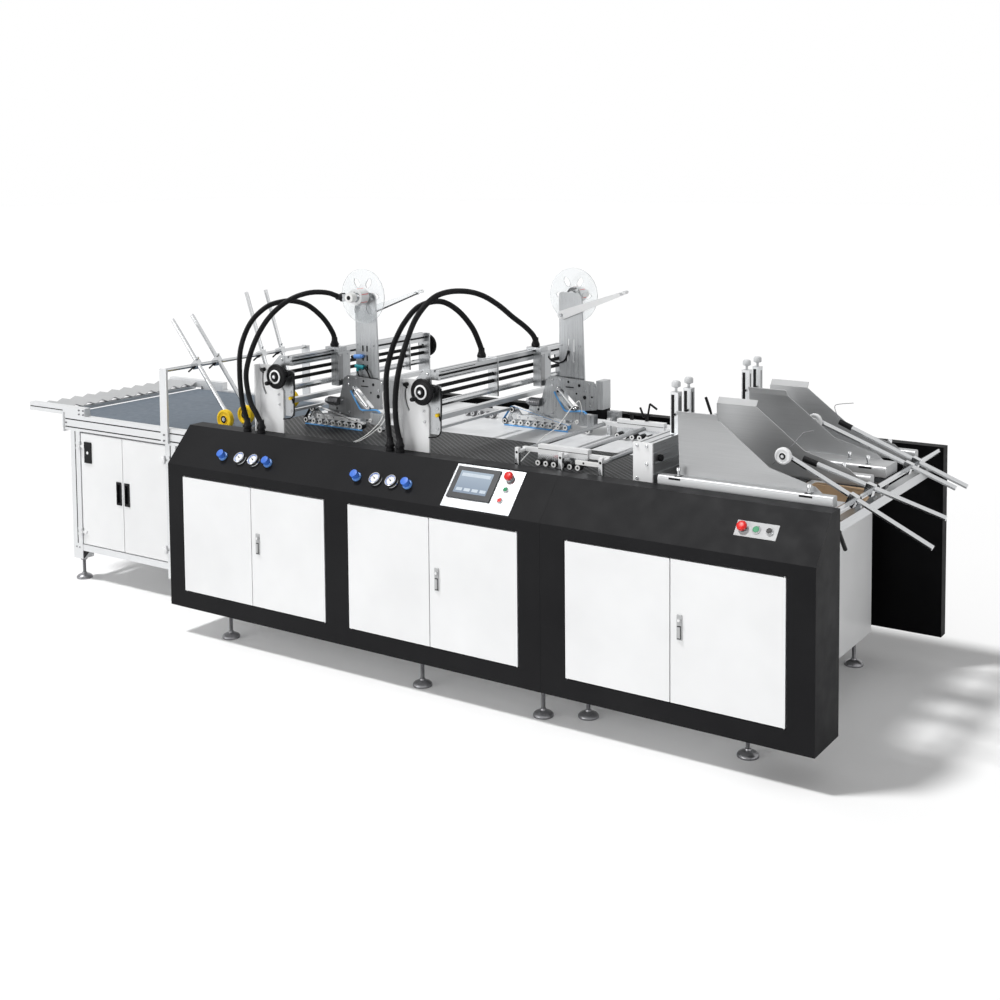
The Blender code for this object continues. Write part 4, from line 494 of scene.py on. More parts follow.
CONDUIT_RADIUS = 0.013
CONDUIT_GROOVE = 0.0115
RIB_PITCH = 0.0052
GLAND_TOP = 1.0183
SADDLE_TOP = 1.3823
RAIL_GLAND_Y = 0.6
REEL_CAP_Y = 0.451
REEL_XZ = (0.79, 1.64)
CONDUIT_ROUTES = (
    ((0.365, 0.175, GLAND_TOP), (0.365, 0.175, 1.045), (0.334, 0.175, 1.142), (0.316, 0.18, 1.28),
     (0.319, 0.19, 1.402), (0.346, 0.23, 1.516), (0.395, 0.29, 1.59), (0.445, 0.35, 1.614),
     (0.482, 0.4, 1.612), (0.522, 0.455, 1.586), (0.56, 0.515, 1.521), (0.585, 0.552, 1.45),
     (0.59, 0.56, 1.41), (0.59, 0.56, SADDLE_TOP)),
    ((0.455, 0.175, GLAND_TOP), (0.455, 0.175, 1.045), (0.425, 0.175, 1.09), (0.386, 0.175, 1.15),
     (0.358, 0.18, 1.267), (0.381, 0.19, 1.376), (0.427, 0.21, 1.484), (0.482, 0.24, 1.568),
     (0.55, 0.29, 1.634), (0.618, 0.348, 1.664), (0.673, 0.412, 1.662), (0.722, REEL_CAP_Y, REEL_XZ[1]),
     (0.7477, REEL_CAP_Y, REEL_XZ[1])),
    ((1.235, 0.175, GLAND_TOP), (1.235, 0.175, 1.045), (1.225, 0.175, 1.13), (1.215, 0.178, 1.26),
     (1.212, 0.187, 1.349), (1.219, 0.205, 1.423), (1.231, 0.228, 1.49), (1.261, 0.262, 1.571),
     (1.303, 0.312, 1.637), (1.356, 0.395, 1.655), (1.402, 0.465, 1.612), (1.432, 0.537, 1.528),
     (1.4405, 0.585, 1.445), (1.4405, RAIL_GLAND_Y, 1.41), (1.4405, RAIL_GLAND_Y, SADDLE_TOP)),
    ((1.29, 0.175, GLAND_TOP), (1.29, 0.175, 1.045), (1.27, 0.175, 1.14), (1.266, 0.18, 1.26),
     (1.288, 0.183, 1.38), (1.32, 0.195, 1.492), (1.341, 0.238, 1.593), (1.36, 0.32, 1.667),
     (1.374, 0.415, 1.694), (1.388, 0.545, 1.69), (1.405, 0.66, 1.662), (1.421, 0.77, 1.608),
     (1.436, 0.87, 1.542), (1.446, 0.96, 1.488), (1.451, 1.024, 1.44), (1.452, 1.045, 1.405),
     (1.452, 1.045, SADDLE_TOP)),
)


def conduit(number, knots):
    """Corrugated hose that rises from its gland on the cover and arches to the gantry."""
    route = catmull(knots, 24)
    total = route_length(route)
    rings = [(0.0, CONDUIT_RADIUS)]
    distance = 0.005
    while distance < total - 0.01:
        rings += [(distance, CONDUIT_GROOVE), (distance + 0.001, CONDUIT_RADIUS),
                  (distance + 0.0032, CONDUIT_RADIUS), (distance + 0.0042, CONDUIT_GROOVE)]
        distance += RIB_PITCH
    rings.append((total, CONDUIT_RADIUS))
    hose = piece(f"corrugated_hose_{number}", [swept(route, rings, 14)], RUBBER, slot="conduit")
    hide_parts(f"conduit_{number}")
    ends = []
    for tip, inner in ((route[0], route[1]), (route[-1], route[-2])):
        frame_matrix = along(tip, inner)
        ends.append(turned(((0.0132, 0.001), (0.0195, 0.001), (0.0205, 0.003), (0.0205, 0.014),
                            (0.0185, 0.016),
                            (0.0175, 0.022), (0.015, 0.026), (0.0142, 0.044), (0.0132, 0.044)), 20,
                           frame_matrix))
        ends.append(turned(((0.0206, 0.0035), (0.0232, 0.0035), (0.0232, 0.0125), (0.0206, 0.0125)), 6,
                           frame_matrix))
    black(f"hose_nuts_{number}", ends)


for hose_number, hose_knots in enumerate(CONDUIT_ROUTES, 1):
    conduit(hose_number, hose_knots)


# CAD nodes: materials by face, and smooth shading of round parts

def paint(material, *names):
    for name in names:
        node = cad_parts[name]
        node.data.materials.clear()
        node.data.materials.append(material)


def paint_faces(name, base, *rules):
    """Give a CAD node a base material, and others where a test on a face's middle holds."""
    paint(base, name)
    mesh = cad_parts[name].data
    for material, _ in rules:
        mesh.materials.append(material)
    for face in mesh.polygons:
        middle = face.center + ORIGIN
        for index, (_, test) in enumerate(rules, 1):
            if test(middle, face.normal):
                face.material_index = index
                break


def soften(node):
    """Weld the split corners, then smooth all edges below the angle of a folded edge."""
    for face in node.data.polygons:
        face.use_smooth = True
    weld = node.modifiers.new("Weld", "WELD")
    weld.merge_threshold = 0.00002
    split = node.modifiers.new("EdgeSplit", "EDGE_SPLIT")
    split.split_angle = math.radians(40)


for cad_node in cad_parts.values():
    soften(cad_node)

FOLD_Z = 0.836
SLOPE_ANGLE = math.atan2(0.164, 0.15)
doors = [f"door_{i}_{side}" for i in (1, 2, 3) for side in ("left", "right")]
paint(BLACK, "front_cover_left", "front_cover_right")
# Rear cover in the darker copy of the black coat: painted shade
paint(SHADED_BLACK, "rear_cover")
paint(WHITE, *doors, "outfeed_cabinet", "support_wheel_1", "support_wheel_2")
paint(STEEL, "hmi_panel")
for number in (1, 2, 3, 4):
    paint_faces(f"side_guide_{number}", GUIDE_STEEL, (TRAY, lambda p, n: p.z > 1.2655))
paint(SATIN, "gantry_bracket_1", "gantry_bracket_2", "tension_arm_2")
paint(TRAY, "outfeed_tray", "control_panel")
paint(BELT, "outfeed_belt")
paint(DECK, "deck_left", "deck_right")
paint(YELLOW, *[f"press_wheel_{i}" for i in (1, 2, 3, 4)])
paint(BLUE_PLASTIC, "air_unit_1", "air_unit_2")
paint(CLEAR, "tape_reel_1", "tape_reel_2", "tension_arm_1")
paint(BLACK_PLASTIC, *[f"handwheel_{i}_{side}" for i in (1, 2) for side in ("front", "rear")])

paint_faces("cabinet_left", WHITE, (FOOT_STEEL, lambda p, n: p.z < 0.139))
paint_faces("cabinet_right", WHITE, (FOOT_STEEL, lambda p, n: p.z < 0.139))
paint_faces("outfeed_frame", PROFILE, (FOOT_STEEL, lambda p, n: p.z < 0.117),
            (STEEL, lambda p, n: p.z > 0.84 and 0.378 < p.y < 1.377))
paint_faces("press_frame", CHROME,
            (PROFILE, lambda p, n: (p.y < 0.3365 or p.y > 1.4185) and abs(p.x + 0.376) < 0.03))
paint_faces("infeed_crossbeam", ALUMINIUM, (WHITE, lambda p, n: p.y < 0.2485),
            (GREY, lambda p, n: p.z > 1.3295))
paint_faces("rod_support", CHROME)
paint_faces("register_guide", WHITE,
            (RUBBER, lambda p, n: p.z < 1.025 and (0.2755 < p.y < 0.2995 or 0.9605 < p.y < 0.9845)),
            (STEEL, lambda p, n: 0.34 < p.y < 0.98 and p.z > 1.035),
            (CHROME, lambda p, n: p.z < 1.0425 or (0.34 < p.y < 0.98 and p.z > 1.0835)))
paint_faces("feed_conveyor", CHROME, (ALUMINIUM, lambda p, n: p.z < 0.92),
            (TAN_BELT, lambda p, n: abs(p.y - 0.627) < 0.021),
            (DARK_GREY, lambda p, n: abs(p.y - 0.864) < 0.021))
for number in (1, 2):
    paint_faces(f"press_belt_{number}", (RUBBER, BLUE_BELT)[number - 1],
                (BLUE_BELT, lambda p, n: n.z < -0.7 and p.z < 1.0),
                (SATIN, lambda p, n: n.z > 0.7))
paint_faces("outfeed_door_left", WHITE,
            (BLACK_PLASTIC, lambda p, n: (abs(p.x + 0.751) < 0.0195 and 0.455 < p.z < 0.585 and p.y < 0.3495)
             or (p.z > 0.655 and p.x > -1.0188 and p.y < 0.3385)))
paint_faces("outfeed_door_right", WHITE,
            (BLACK_PLASTIC, lambda p, n: abs(p.x + 0.688) < 0.0195 and 0.455 < p.z < 0.585 and p.y < 0.3495))
for number, x0 in GANTRIES:
    paint_faces(f"gantry_frame_{number}", ALUMINIUM,
                (BLACK, lambda p, n: 1.25 < p.z < 1.306 and 0.25 < p.y < 1.289 and abs(n.y) < 0.5),
                (CHROME, lambda p, n: 1.2 < p.z < 1.236 and 0.25 < p.y < 1.289 and abs(n.y) < 0.5),
                (STEEL_UP, lambda p, n: p.y > 1.289 or p.y < 0.25))
    plate_y = (0.535, 1.02)[number - 1]
    paint_faces(f"tape_head_{number}", STEEL_UP,
                (CHROME, lambda p, n: p.z < 1.045),
                (DIAL, lambda p, n: p.z > 1.6 and (p.y < 0.48 or p.y > 1.13)
                 and abs(p.x - x0 - 0.79) < 0.0245),
                ((PLATE_STEEL, STEEL_UP)[number - 1],
                 lambda p, n: plate_y - 0.001 < p.y < plate_y + 0.012 and p.z < 1.26))


# Feet

def levelling_foot(x, y, top):
    """Domed pad, threaded stem and lock nut."""
    pad = turned(((0, 0.0), (0.0425, 0.0), (0.043, 0.004), (0.0424, 0.0095), (0.036, 0.0165), (0.024, 0.0222),
                  (0.0135, 0.0265), (0.0115, 0.032), (0.0092, 0.033), (0, 0.033)), 28,
                 Matrix.Translation((x, y, 0)))
    thread = [(0, 0.03)]
    height = 0.032
    while height < top - 0.004:
        thread += [(0.009, height), (0.0083, height + 0.001)]
        height += 0.002
    thread += [(0.0085, top - 0.0005), (0, top - 0.0005)]
    stem = turned(thread, 14, Matrix.Translation((x, y, 0)))
    nut = turned(((0, top - 0.0152), (0.0172, top - 0.0152), (0.0182, top - 0.014), (0.0182, top - 0.0015),
                  (0.0172, top - 0.0003), (0, top - 0.0003)), 6, Matrix.Translation((x, y, 0)))
    return [pad, stem, nut]


CONSOLE_FEET = [(x, y, 0.1433) for x in (0.301, 1.457, 2.08) for y in (0.1, 1.35)]
CONSOLE_FEET += [(x, y, 0.1433) for x in (2.242, 2.949) for y in (0.19, 1.35)]
TABLE_FEET = [(x, y, 0.118) for x in (-1.0925, -0.3465) for y in (0.3735, 1.3815)]
for number, (x, y, top) in enumerate(CONSOLE_FEET + TABLE_FEET, 1):
    dark_steel(f"levelling_foot_{number}", levelling_foot(x, y, top))


# Console front

def on_slope(x, distance):
    """Matrix of a frame on the slope: X along the machine, Y up the slope, Z out of it."""
    point = Vector((x, distance * math.cos(SLOPE_ANGLE), FOLD_Z + distance * math.sin(SLOPE_ANGLE)))
    return Matrix.Translation(point) @ Matrix.Rotation(SLOPE_ANGLE, 4, "X")


def shaped(shape, matrix):
    shape.transform(matrix)
    return shape


def ribbed_cap(radius, low, high, ribs, depth):
    """Outline of a knurled cap extruded upwards."""
    outline = []
    for i in range(ribs * 4):
        angle = 2 * math.pi * i / (ribs * 4)
        r = radius if i % 4 < 2 else radius - depth
        outline.append((r * math.cos(angle), r * math.sin(angle)))
    return prism(outline, "Z", low, high)


def regulator(name, x):
    matrix = on_slope(x, 0.078)
    knob = [shaped(ribbed_cap(0.0185, 0.019, 0.0345, 20, 0.0007), matrix),
            turned(((0, 0.034), (0.0176, 0.034), (0.0186, 0.0352), (0.018, 0.0368), (0.012, 0.0376),
                    (0, 0.0378)),
                   32, matrix),
            turned(((0.0155, 0.009), (0.016, 0.009), (0.016, 0.0192), (0.0182, 0.0192), (0.0182, 0.02),
                    (0.015, 0.02)), 32, matrix)]
    collar = [turned(((0.0155, 0.0005), (0.0216, 0.0005), (0.0222, 0.002), (0.0222, 0.007), (0.0214, 0.0086),
                      (0.0162, 0.0105), (0.0155, 0.0105)), 36, matrix)]
    piece(name, knob, BLUE_PLASTIC, slot="knob_blue")
    piece(name + "_collar", collar, LIGHT_BLUE, slot="knob_blue")


def gauge(name, x):
    matrix = on_slope(x, 0.078)
    ring = [turned(((0.0262, 0.0004), (0.0278, 0.0004), (0.0284, 0.002), (0.027, 0.004), (0.0268, 0.019),
                    (0.0276, 0.0198), (0.0274, 0.0214), (0.0258, 0.0222), (0.0236, 0.0214), (0.0232, 0.0196),
                    (0.0262, 0.0196)), 40, matrix)]
    face = [turned(((0, 0.0176), (0.024, 0.0176), (0.024, 0.0182), (0, 0.0184)), 40, matrix)]
    marks = []
    for i in range(11):
        angle = math.radians(225 - 27 * i)
        wide = 0.0009 if i % 5 == 0 else 0.0005
        marks.append(shaped(box(0.0175, 0.0215, -wide, wide, 0.0183, 0.0187),
                            matrix @ Matrix.Rotation(angle, 4, "Z")))
    marks.append(shaped(prism(((-0.006, -0.0012), (0.0185, -0.0003), (0.0185, 0.0003), (-0.006, 0.0012)),
                              "Z", 0.019, 0.0196), matrix @ Matrix.Rotation(math.radians(150), 4, "Z")))
    marks.append(turned(((0, 0.0186), (0.0026, 0.0186), (0.0026, 0.0204), (0, 0.0204)), 12, matrix))
    chrome(name, ring)
    piece(name + "_dial", face, DIAL, slot="white_sheet")
    black(name + "_marks", marks)


AIR_UNITS = ((0.326, 0.438, 0.525, 0.612), (1.144, 1.253, 1.342, 1.427))
for unit, positions in enumerate(AIR_UNITS, 1):
    regulator(f"regulator_{unit}_left", positions[0])
    gauge(f"gauge_{unit}_left", positions[1])
    gauge(f"gauge_{unit}_right", positions[2])
    regulator(f"regulator_{unit}_right", positions[3])


def push_button(name, matrix, x, y, radius, height, colour, slot, mushroom=False):
    ring = [turned(((radius * 0.7, 0.002), (radius * 1.1, 0.002), (radius * 1.12, 0.0045),
                    (radius * 0.98, 0.0065),
                    (radius * 0.7, 0.0065)), 28, matrix @ Matrix.Translation((x, y, 0)))]
    if mushroom:
        ring = [turned(((radius * 0.55, 0.002), (radius * 0.92, 0.002), (radius * 0.92, 0.005),
                        (radius * 0.55, 0.007)), 28, matrix @ Matrix.Translation((x, y, 0)))]
        profile = ((0, 0.004), (radius * 0.62, 0.004), (radius * 0.6, height * 0.5),
                   (radius * 0.98, height * 0.55),
                   (radius * 1.02, height * 0.68), (radius * 0.96, height * 0.9),
                   (radius * 0.8, height * 1.01),
                   (radius * 0.4, height * 1.05), (0, height * 1.06))
    else:
        profile = ((0, 0.003), (radius * 0.82, 0.003), (radius * 0.86, height * 0.95),
                   (radius * 0.78, height * 1.05),
                   (0, height * 1.07))
    cap = [turned(profile, 32, matrix @ Matrix.Translation((x, y, 0)))]
    chrome(name + "_ring", ring)
    piece(name, cap, colour, slot=slot)


def touch_panel():
    matrix = on_slope(1.8055, 0.11112)
    left, top = -0.1595, 0.09
    right, low = left + 0.217, top - 0.149
    rim = 0.0005
    frame_face = box(left - rim, right + rim, low - rim, top + rim, 0.0025, 0.0084)
    piece("touch_panel_frame", [shaped(frame_face, matrix)], DARK_GREY, slot="black_plastic", bevel=0.0012)
    piece("touch_panel_screen", [shaped(box(left + 0.024, right - 0.028, low + 0.024, top - 0.02, 0.0084,
                                            0.0088),
                                        matrix)], SCREEN, slot="black_plastic")
    fields = [shaped(box(left + 0.034 + i * 0.04, left + 0.064 + i * 0.04, low + 0.034, low + 0.048,
                         0.0088, 0.009), matrix) for i in range(4)]
    fields.append(shaped(box(left + 0.034, right - 0.038, top - 0.046, top - 0.03, 0.0088, 0.009), matrix))
    piece("touch_panel_fields", fields, FIELD, slot="knob_blue")
    push_button("stop_mushroom", matrix, 0.1065, 0.068, 0.02, 0.026, RED_PLASTIC, "black_plastic", True)
    push_button("start_button", matrix, 0.1115, 0.01, 0.011, 0.01, GREEN_PLASTIC, "black_plastic")
    push_button("reset_button", matrix, 0.1045, -0.042, 0.011, 0.01, RED_PLASTIC, "black_plastic")


touch_panel()


def control_panel():
    matrix = on_slope(3.031, 0.11)
    push_button("feeder_stop_mushroom", matrix, -0.055, 0.002, 0.02, 0.024, RED_PLASTIC, "black_plastic",
                True)
    push_button("feeder_start_button", matrix, 0.0, 0.0, 0.015, 0.01, GREEN_PLASTIC, "black_plastic")
    push_button("feeder_selector", matrix, 0.053, 0.0, 0.013, 0.014, BLACK_PLASTIC, "black_plastic")


control_panel()


def latch(number, seam):
    """Swing-handle latch: steel frame, dark recess, handle and key cylinder."""
    x, z = seam + 0.041, 0.523
    plate = box(x - 0.0112, x + 0.0112, -0.0042, 0.0005, z - 0.049, z + 0.049)
    piece(f"latch_{number}", [plate], TRAY, body=f"door_{number}_right", slot="steel", bevel=0.0012)
    recess = [box(x - 0.008, x + 0.008, -0.0046, -0.004, z - 0.045, z + 0.006),
              turned(((0, 0.0), (0.0066, 0.0), (0.0066, 0.003), (0, 0.0034)), 20,
                     along((x, -0.006, z + 0.0285), (x, -1.0, z + 0.0285)))]
    black(f"latch_{number}_recess", recess, body=f"door_{number}_right")
    grip = [box(x - 0.0055, x + 0.0055, -0.0095, -0.0044, z - 0.04, z + 0.002),
            turned(((0.0064, 0.0), (0.0088, 0.0), (0.0088, 0.0052), (0.007, 0.0066), (0.0064, 0.0066)), 24,
                   along((x, -0.0042, z + 0.0285), (x, -1.0, z + 0.0285)))]
    piece(f"latch_{number}_grip", grip, TRAY, body=f"door_{number}_right", slot="steel", bevel=0.0012)


for number, seam in enumerate((0.545, 1.575, 2.712), 1):
    latch(number, seam)


# Handwheels and rollers

def handwheel(name, centre, direction, crank):
    """Solid handwheel with a rounded rim, a dial ring, a chrome centre and a crank handle."""
    matrix = Matrix.Translation(centre) @ Matrix.Rotation(direction * math.pi / 2, 4, "X")
    rim = []
    for i in range(13):
        angle = math.radians(-90 + 360 * i / 12)
        rim.append((0.0525 + 0.0076 * math.cos(angle), 0.01 + 0.0085 * math.sin(angle)))
    body = [turned(rim[:-1], 48, matrix),
            turned(((0.019, 0.001), (0.047, 0.005), (0.047, 0.012), (0.019, 0.016)), 48, matrix),
            turned(((0, -0.01), (0.012, -0.01), (0.019, -0.006), (0.02, 0.022), (0, 0.022)), 40, matrix)]
    handle = turned(((0, 0.0), (0.0085, 0.0), (0.007, -0.008), (0.01, -0.016), (0.0104, -0.034),
                     (0.0085, -0.043), (0, -0.046)), 20,
                    matrix @ Matrix.Translation((crank[0], crank[1], 0.008)))
    wheel = black(name + "_wheel", body + [handle], body=name)
    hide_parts(name)
    piece(name + "_ring", [turned(((0.0255, 0.0), (0.033, 0.001), (0.033, 0.0035), (0.0255, 0.0035)), 40,
                                  matrix @ Matrix.Translation((0, 0, -0.0035)))], WHITE, body=name,
          slot="white_sheet")
    piece(name + "_centre", [turned(((0, -0.0135), (0.006, -0.013), (0.0095, -0.01), (0, -0.0095)), 24,
                                    matrix),
                             turned(((0, 0.02), (0.0095, 0.02), (0.0095, 0.038), (0, 0.038)), 20, matrix)],
          CHROME, body=name, slot="steel")


for number, x0 in GANTRIES:
    handwheel(f"handwheel_{number}_front", (0.537 + x0, 0.188, 1.275), -1, (-0.026, 0.03))
    handwheel(f"handwheel_{number}_rear", (0.58 + x0, 1.34, 1.3), 1, (-0.026, 0.03))


def spoked_wheel(name, body, centre, radius, width, tyre, slot):
    """Wheel with a rounded tyre, a recessed web, and a bearing in its hub."""
    half = width / 2
    matrix = Matrix.Translation(centre) @ Matrix.Rotation(math.pi / 2, 4, "X")
    soft = 0.004
    profile = ((radius * 0.4, -half), (radius * 0.46, -half * 0.66), (radius * 0.74, -half * 0.66),
               (radius * 0.78, -half), (radius - soft, -half), (radius - soft * 0.3, -half + soft * 0.3),
               (radius, -half + soft), (radius, half - soft), (radius - soft * 0.3, half - soft * 0.3),
               (radius - soft, half), (radius * 0.78, half), (radius * 0.74, half * 0.66),
               (radius * 0.46, half * 0.66), (radius * 0.4, half))
    wheel = piece(name, [turned(profile, 48, matrix)], tyre, body=body, slot=slot)
    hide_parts(body)
    hub = [turned(((0.006, -half * 0.95), (radius * 0.4, -half * 0.95), (radius * 0.4, half * 0.95),
                   (0.006, half * 0.95)), 32, matrix)]
    black(name + "_hub", hub, body=body)
    bearing = [turned(((0.0054, -half - 0.001), (radius * 0.2, -half - 0.001), (radius * 0.2, half + 0.001),
                       (0.0054, half + 0.001)), 24, matrix)]
    chrome(name + "_bearing", bearing, body=body)


def wheel_centre(node):
    low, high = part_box(node)
    return (low + high) / 2 + ORIGIN


for number in (1, 2, 3, 4):
    spoked_wheel(f"yellow_wheel_{number}", f"press_wheel_{number}", wheel_centre(f"press_wheel_{number}"),
                 0.05, 0.028, YELLOW, "wheel_yellow")
for number in (1, 2):
    spoked_wheel(f"white_wheel_{number}", f"support_wheel_{number}", wheel_centre(f"support_wheel_{number}"),
                 0.033, 0.022, WHITE, "white_sheet")


# Small fittings

def screw(x, y, z, direction, radius=0.0045, height=0.0045):
    """Socket-head screw; direction is the way its head faces."""
    profile = ((0, 0), (radius, 0), (radius, height * 0.85), (radius * 0.88, height), (radius * 0.52, height),
               (radius * 0.48, height * 0.4), (0, height * 0.4))
    return turned(profile, 14, along((x, y, z), Vector((x, y, z)) + Vector(direction)))


def disc(x, y, z, direction, radius, inner=0.0, height=0.0004, sides=24):
    """Thin round plate or ring on a face, or a black disc painted as the shade in the mouth of a hole."""
    profile = ((0, 0), (radius, 0), (radius, height), (0, height))
    if inner:
        profile = ((inner, 0), (radius, 0), (radius, height), (inner, height))
    return turned(profile, sides, along((x, y, z), Vector((x, y, z)) + Vector(direction)))


# Ways that a face looks
FRONT = (0, -1, 0)
RIGHT = (1, 0, 0)


def table_fittings():
    # Grooves in the table profiles are thin black strips on the faces: painted shade in the grooves
    grooves = []
    for y0, y1 in ((0.3354, 0.3362), (1.4188, 1.4196)):
        for x0, x1 in ((-1.17, -0.4045), (-0.3475, 0.001)):
            for z in (0.889, 0.846):
                grooves.append(box(x0, x1, y0, y1, z - 0.003, z + 0.003))
        for x in (-1.0925, -0.3465):
            grooves.append(box(x - 0.003, x + 0.003, y0, y1, 0.203, 0.826))
        grooves.append(box(-1.464, -1.19, y0, y1, 0.931, 0.936))
    for y in (0.3735, 1.3815):
        grooves.append(box(-1.1304, -1.1298, y - 0.003, y + 0.003, 0.125, 0.826))
    piece("table_groove_shade", grooves, RUBBER, slot="black_plastic")
    heads = [screw(x, 0.336, z, FRONT, 0.005) for x, z in
             ((-1.054, 0.944), (-1.02, 0.944), (-1.054, 0.922), (-1.02, 0.922), (-1.163, 0.868),
              (-0.02, 0.868))]
    heads += [screw(-0.376, 0.3237, z, FRONT, 0.0055) for z in (0.881, 0.85)]
    heads += [screw(x, 0.338, z, FRONT, 0.0045) for x, z in
              ((-1.104, 0.182), (-1.08, 0.182), (-0.358, 0.182), (-0.334, 0.182))]
    dark_steel("table_screws", heads)
    piece("tray_bar", [box(-1.27, -1.236, 0.3772, 1.3778, 0.903, 0.9222)], ALUMINIUM, slot="aluminium",
          bevel=0.001)
    bracket = prism(((-1.0545, 0.1645), (-1.01, 0.1645), (-1.0545, 0.12)), "Y", 0.34, 0.346)
    black("table_corner_bracket", [bracket], bevel=0.0008)
    piece("socket_mark", [disc(-0.9925, 0.334, 0.716, FRONT, 0.008, 0.0, 0.0012)], WHITE,
          body="outfeed_door_left", slot="white_sheet")


def press_clamp_levers():
    levers, knobs = [], []
    for y in (0.555, 0.705, 1.045, 1.2):
        levers.append(rod((-0.368, y - 0.021, 1.209), (-0.398, y - 0.03, 1.182), 0.0045, 12, 0.001))
        levers.append(rod((-0.372, y - 0.0165, 1.213), (-0.366, y - 0.026, 1.207), 0.006, 12, 0.001))
        top = Vector((-0.359, y, 1.25))
        knobs.append(rod(top, top + Vector((0.0055, 0, 0.012)), 0.0062, 14, 0.001))
    black("press_clamp_levers", levers)
    chrome("press_clamp_screws", knobs)


def bracket_fittings(number, x0):
    heads = [screw(x0 + x, 0.228, z, FRONT, 0.006, 0.005) for x,
             z in ((0.525, 1.184), (0.528, 1.137), (0.41, 1.3))]
    heads += [screw(x0 + x, 0.2363, z, FRONT, 0.006, 0.005) for x,
              z in ((0.54, 1.35), (0.592, 1.2), (0.592, 1.11))]
    chrome(f"bracket_screws_{number}", heads)
    # The curved slot in the bracket is a thin black band on its face: painted shade for the opening
    slot_shade_outline = arc((x0 + 0.545, 1.25), 0.1285, 161.0, 215.0, 20) + arc((x0 + 0.545, 1.25), 0.1215, 215.0,
                                                                       161.0, 20)
    dark = [prism(slot_shade_outline, "Y", 0.233, 0.2336)]
    dark.append(rod((x0 + 0.4325, 0.2335, 1.298), (x0 + 0.4325, 0.206, 1.298), 0.0095, 16, 0.002))
    dark.append(rod((x0 + 0.4325, 0.2085, 1.298), (x0 + 0.45, 0.203, 1.286), 0.005, 12, 0.001))
    dark.append(rod((x0 + 0.589, 0.2365, 1.288), (x0 + 0.589, 0.212, 1.288), 0.015, 20, 0.002))
    dark.append(rod((x0 + 0.589, 0.213, 1.288), (x0 + 0.589, 0.202, 1.288), 0.0085, 16, 0.002))
    dark.append(tube(((x0 + 0.609, 0.242, 1.29), (x0 + 0.6105, 0.242, 1.262), (x0 + 0.6125, 0.2395, 1.215),
                      (x0 + 0.6115, 0.236, 1.15), (x0 + 0.611, 0.233, 1.1), (x0 + 0.595, 0.23, 1.078),
                      (x0 + 0.56, 0.229, 1.07), (x0 + 0.549, 0.2275, 1.069)), 0.003, 8, 5))
    dark.append(rod((x0 + 0.602, 0.235, 1.168), (x0 + 0.618, 0.224, 1.15), 0.0042, 12, 0.001))
    black(f"bracket_clamps_{number}", dark)
    piece(f"bracket_knob_{number}",
          [rod((x0 + 0.596, 0.2362, 1.172), (x0 + 0.596, 0.221, 1.172), 0.0085, 18, 0.002)],
          YELLOW, slot="wheel_yellow")
    # Grooves in the gantry rails are thin black strips: painted shade in the grooves
    grooves = [box(x0 + 0.5905, x0 + 0.5915, 0.25, 1.288, 1.3425, 1.3525),
               box(x0 + 0.6004, x0 + 0.6014, 0.25, 0.515, 1.36, 1.363),
               box(x0 + 0.6004, x0 + 0.6014, 0.25, 0.515, 1.33, 1.333)]
    piece(f"rail_groove_shade_{number}", grooves, RUBBER, slot="black_plastic")
    far = [screw(x0 + x, 1.29, z, FRONT, 0.006) for x, z in ((0.56, 1.01), (0.612, 1.01))]
    far += [screw(x0 + 0.621, y, z, RIGHT, 0.004) for y, z in ((1.295, 1.356), (1.295, 1.24), (1.295, 1.12))]
    chrome(f"far_plate_screws_{number}", far)
    ring = [disc(x0 + 0.5785, 1.29, 1.12, FRONT, 0.019, 0.012, 0.01),
            disc(x0 + 0.5785, 1.29, 1.12, FRONT, 0.0085, 0.0, 0.014)]
    dark_steel(f"far_bearing_{number}", ring)


def head_rollers(number, x0, y):
    rings, noses, caps = [], [], []
    for i in range(8):
        x = x0 + 0.496 + i * 0.042
        rings.append(disc(x, y - 0.0115, 1.011, FRONT, 0.0118, 0.0056, 0.003))
        caps.append(disc(x, y - 0.0115, 1.011, FRONT, 0.005, 0.0, 0.002, 16))
    for x, z in ((0.446, 1.013), (0.488, 1.072)):
        noses.append(disc(x0 + x, y - 0.0115, z, FRONT, 0.015, 0.0, 0.004))
        rings.append(disc(x0 + x, y - 0.0152, z, FRONT, 0.0118, 0.0076, 0.0016))
    piece(f"roller_rings_{number}", rings, DIAL, slot="white_sheet")
    black(f"roller_caps_{number}", noses + caps)
    strip = box(x0 + 0.442, x0 + 0.806, y - 0.015, y - 0.0118, 0.9908, 0.9972)
    piece(f"belt_edge_{number}", [strip], BLUE_BELT, slot="knob_blue", bevel=0.0006)
    arm = prism(((x0 + 0.434, 1.008), (x0 + 0.458, 1.004), (x0 + 0.502, 1.07), (x0 + 0.478, 1.078)), "Y",
                y + 0.015, y + 0.0195)
    black(f"nose_arm_{number}", [arm], bevel=0.0008)
    plate = box(x0 + 0.512, x0 + 0.79, y - 0.0095, y - 0.007, 1.0275, 1.048)
    bolts = [screw(x0 + 0.53 + i * 0.048, y - 0.0095, 1.04, FRONT, 0.0042) for i in range(6)]
    return plate, bolts


AIR_HOSES = {
    1: (((0.912, 0.535, 1.188), (0.912, 0.53, 1.18), (0.934, 0.5, 1.076), (0.942, 0.4, 1.021),
         (0.945, 0.3, 0.995),
         (0.944, 0.27, 0.993)),
        ((0.924, 0.535, 1.15), (0.924, 0.53, 1.142), (0.946, 0.498, 1.06), (0.953, 0.4, 1.015),
         (0.957, 0.3, 0.9945),
         (0.957, 0.268, 0.993))),
    2: (((1.744, 1.005, 1.025), (1.744, 1.0, 1.04), (1.744, 0.985, 1.12), (1.738, 0.98, 1.146),
         (1.728, 0.978, 1.146),
         (1.735, 0.9, 1.122), (1.754, 0.75, 1.066), (1.795, 0.56, 1.052), (1.837, 0.4, 1.03),
         (1.852, 0.28, 0.996),
         (1.853, 0.262, 0.994)),),
}


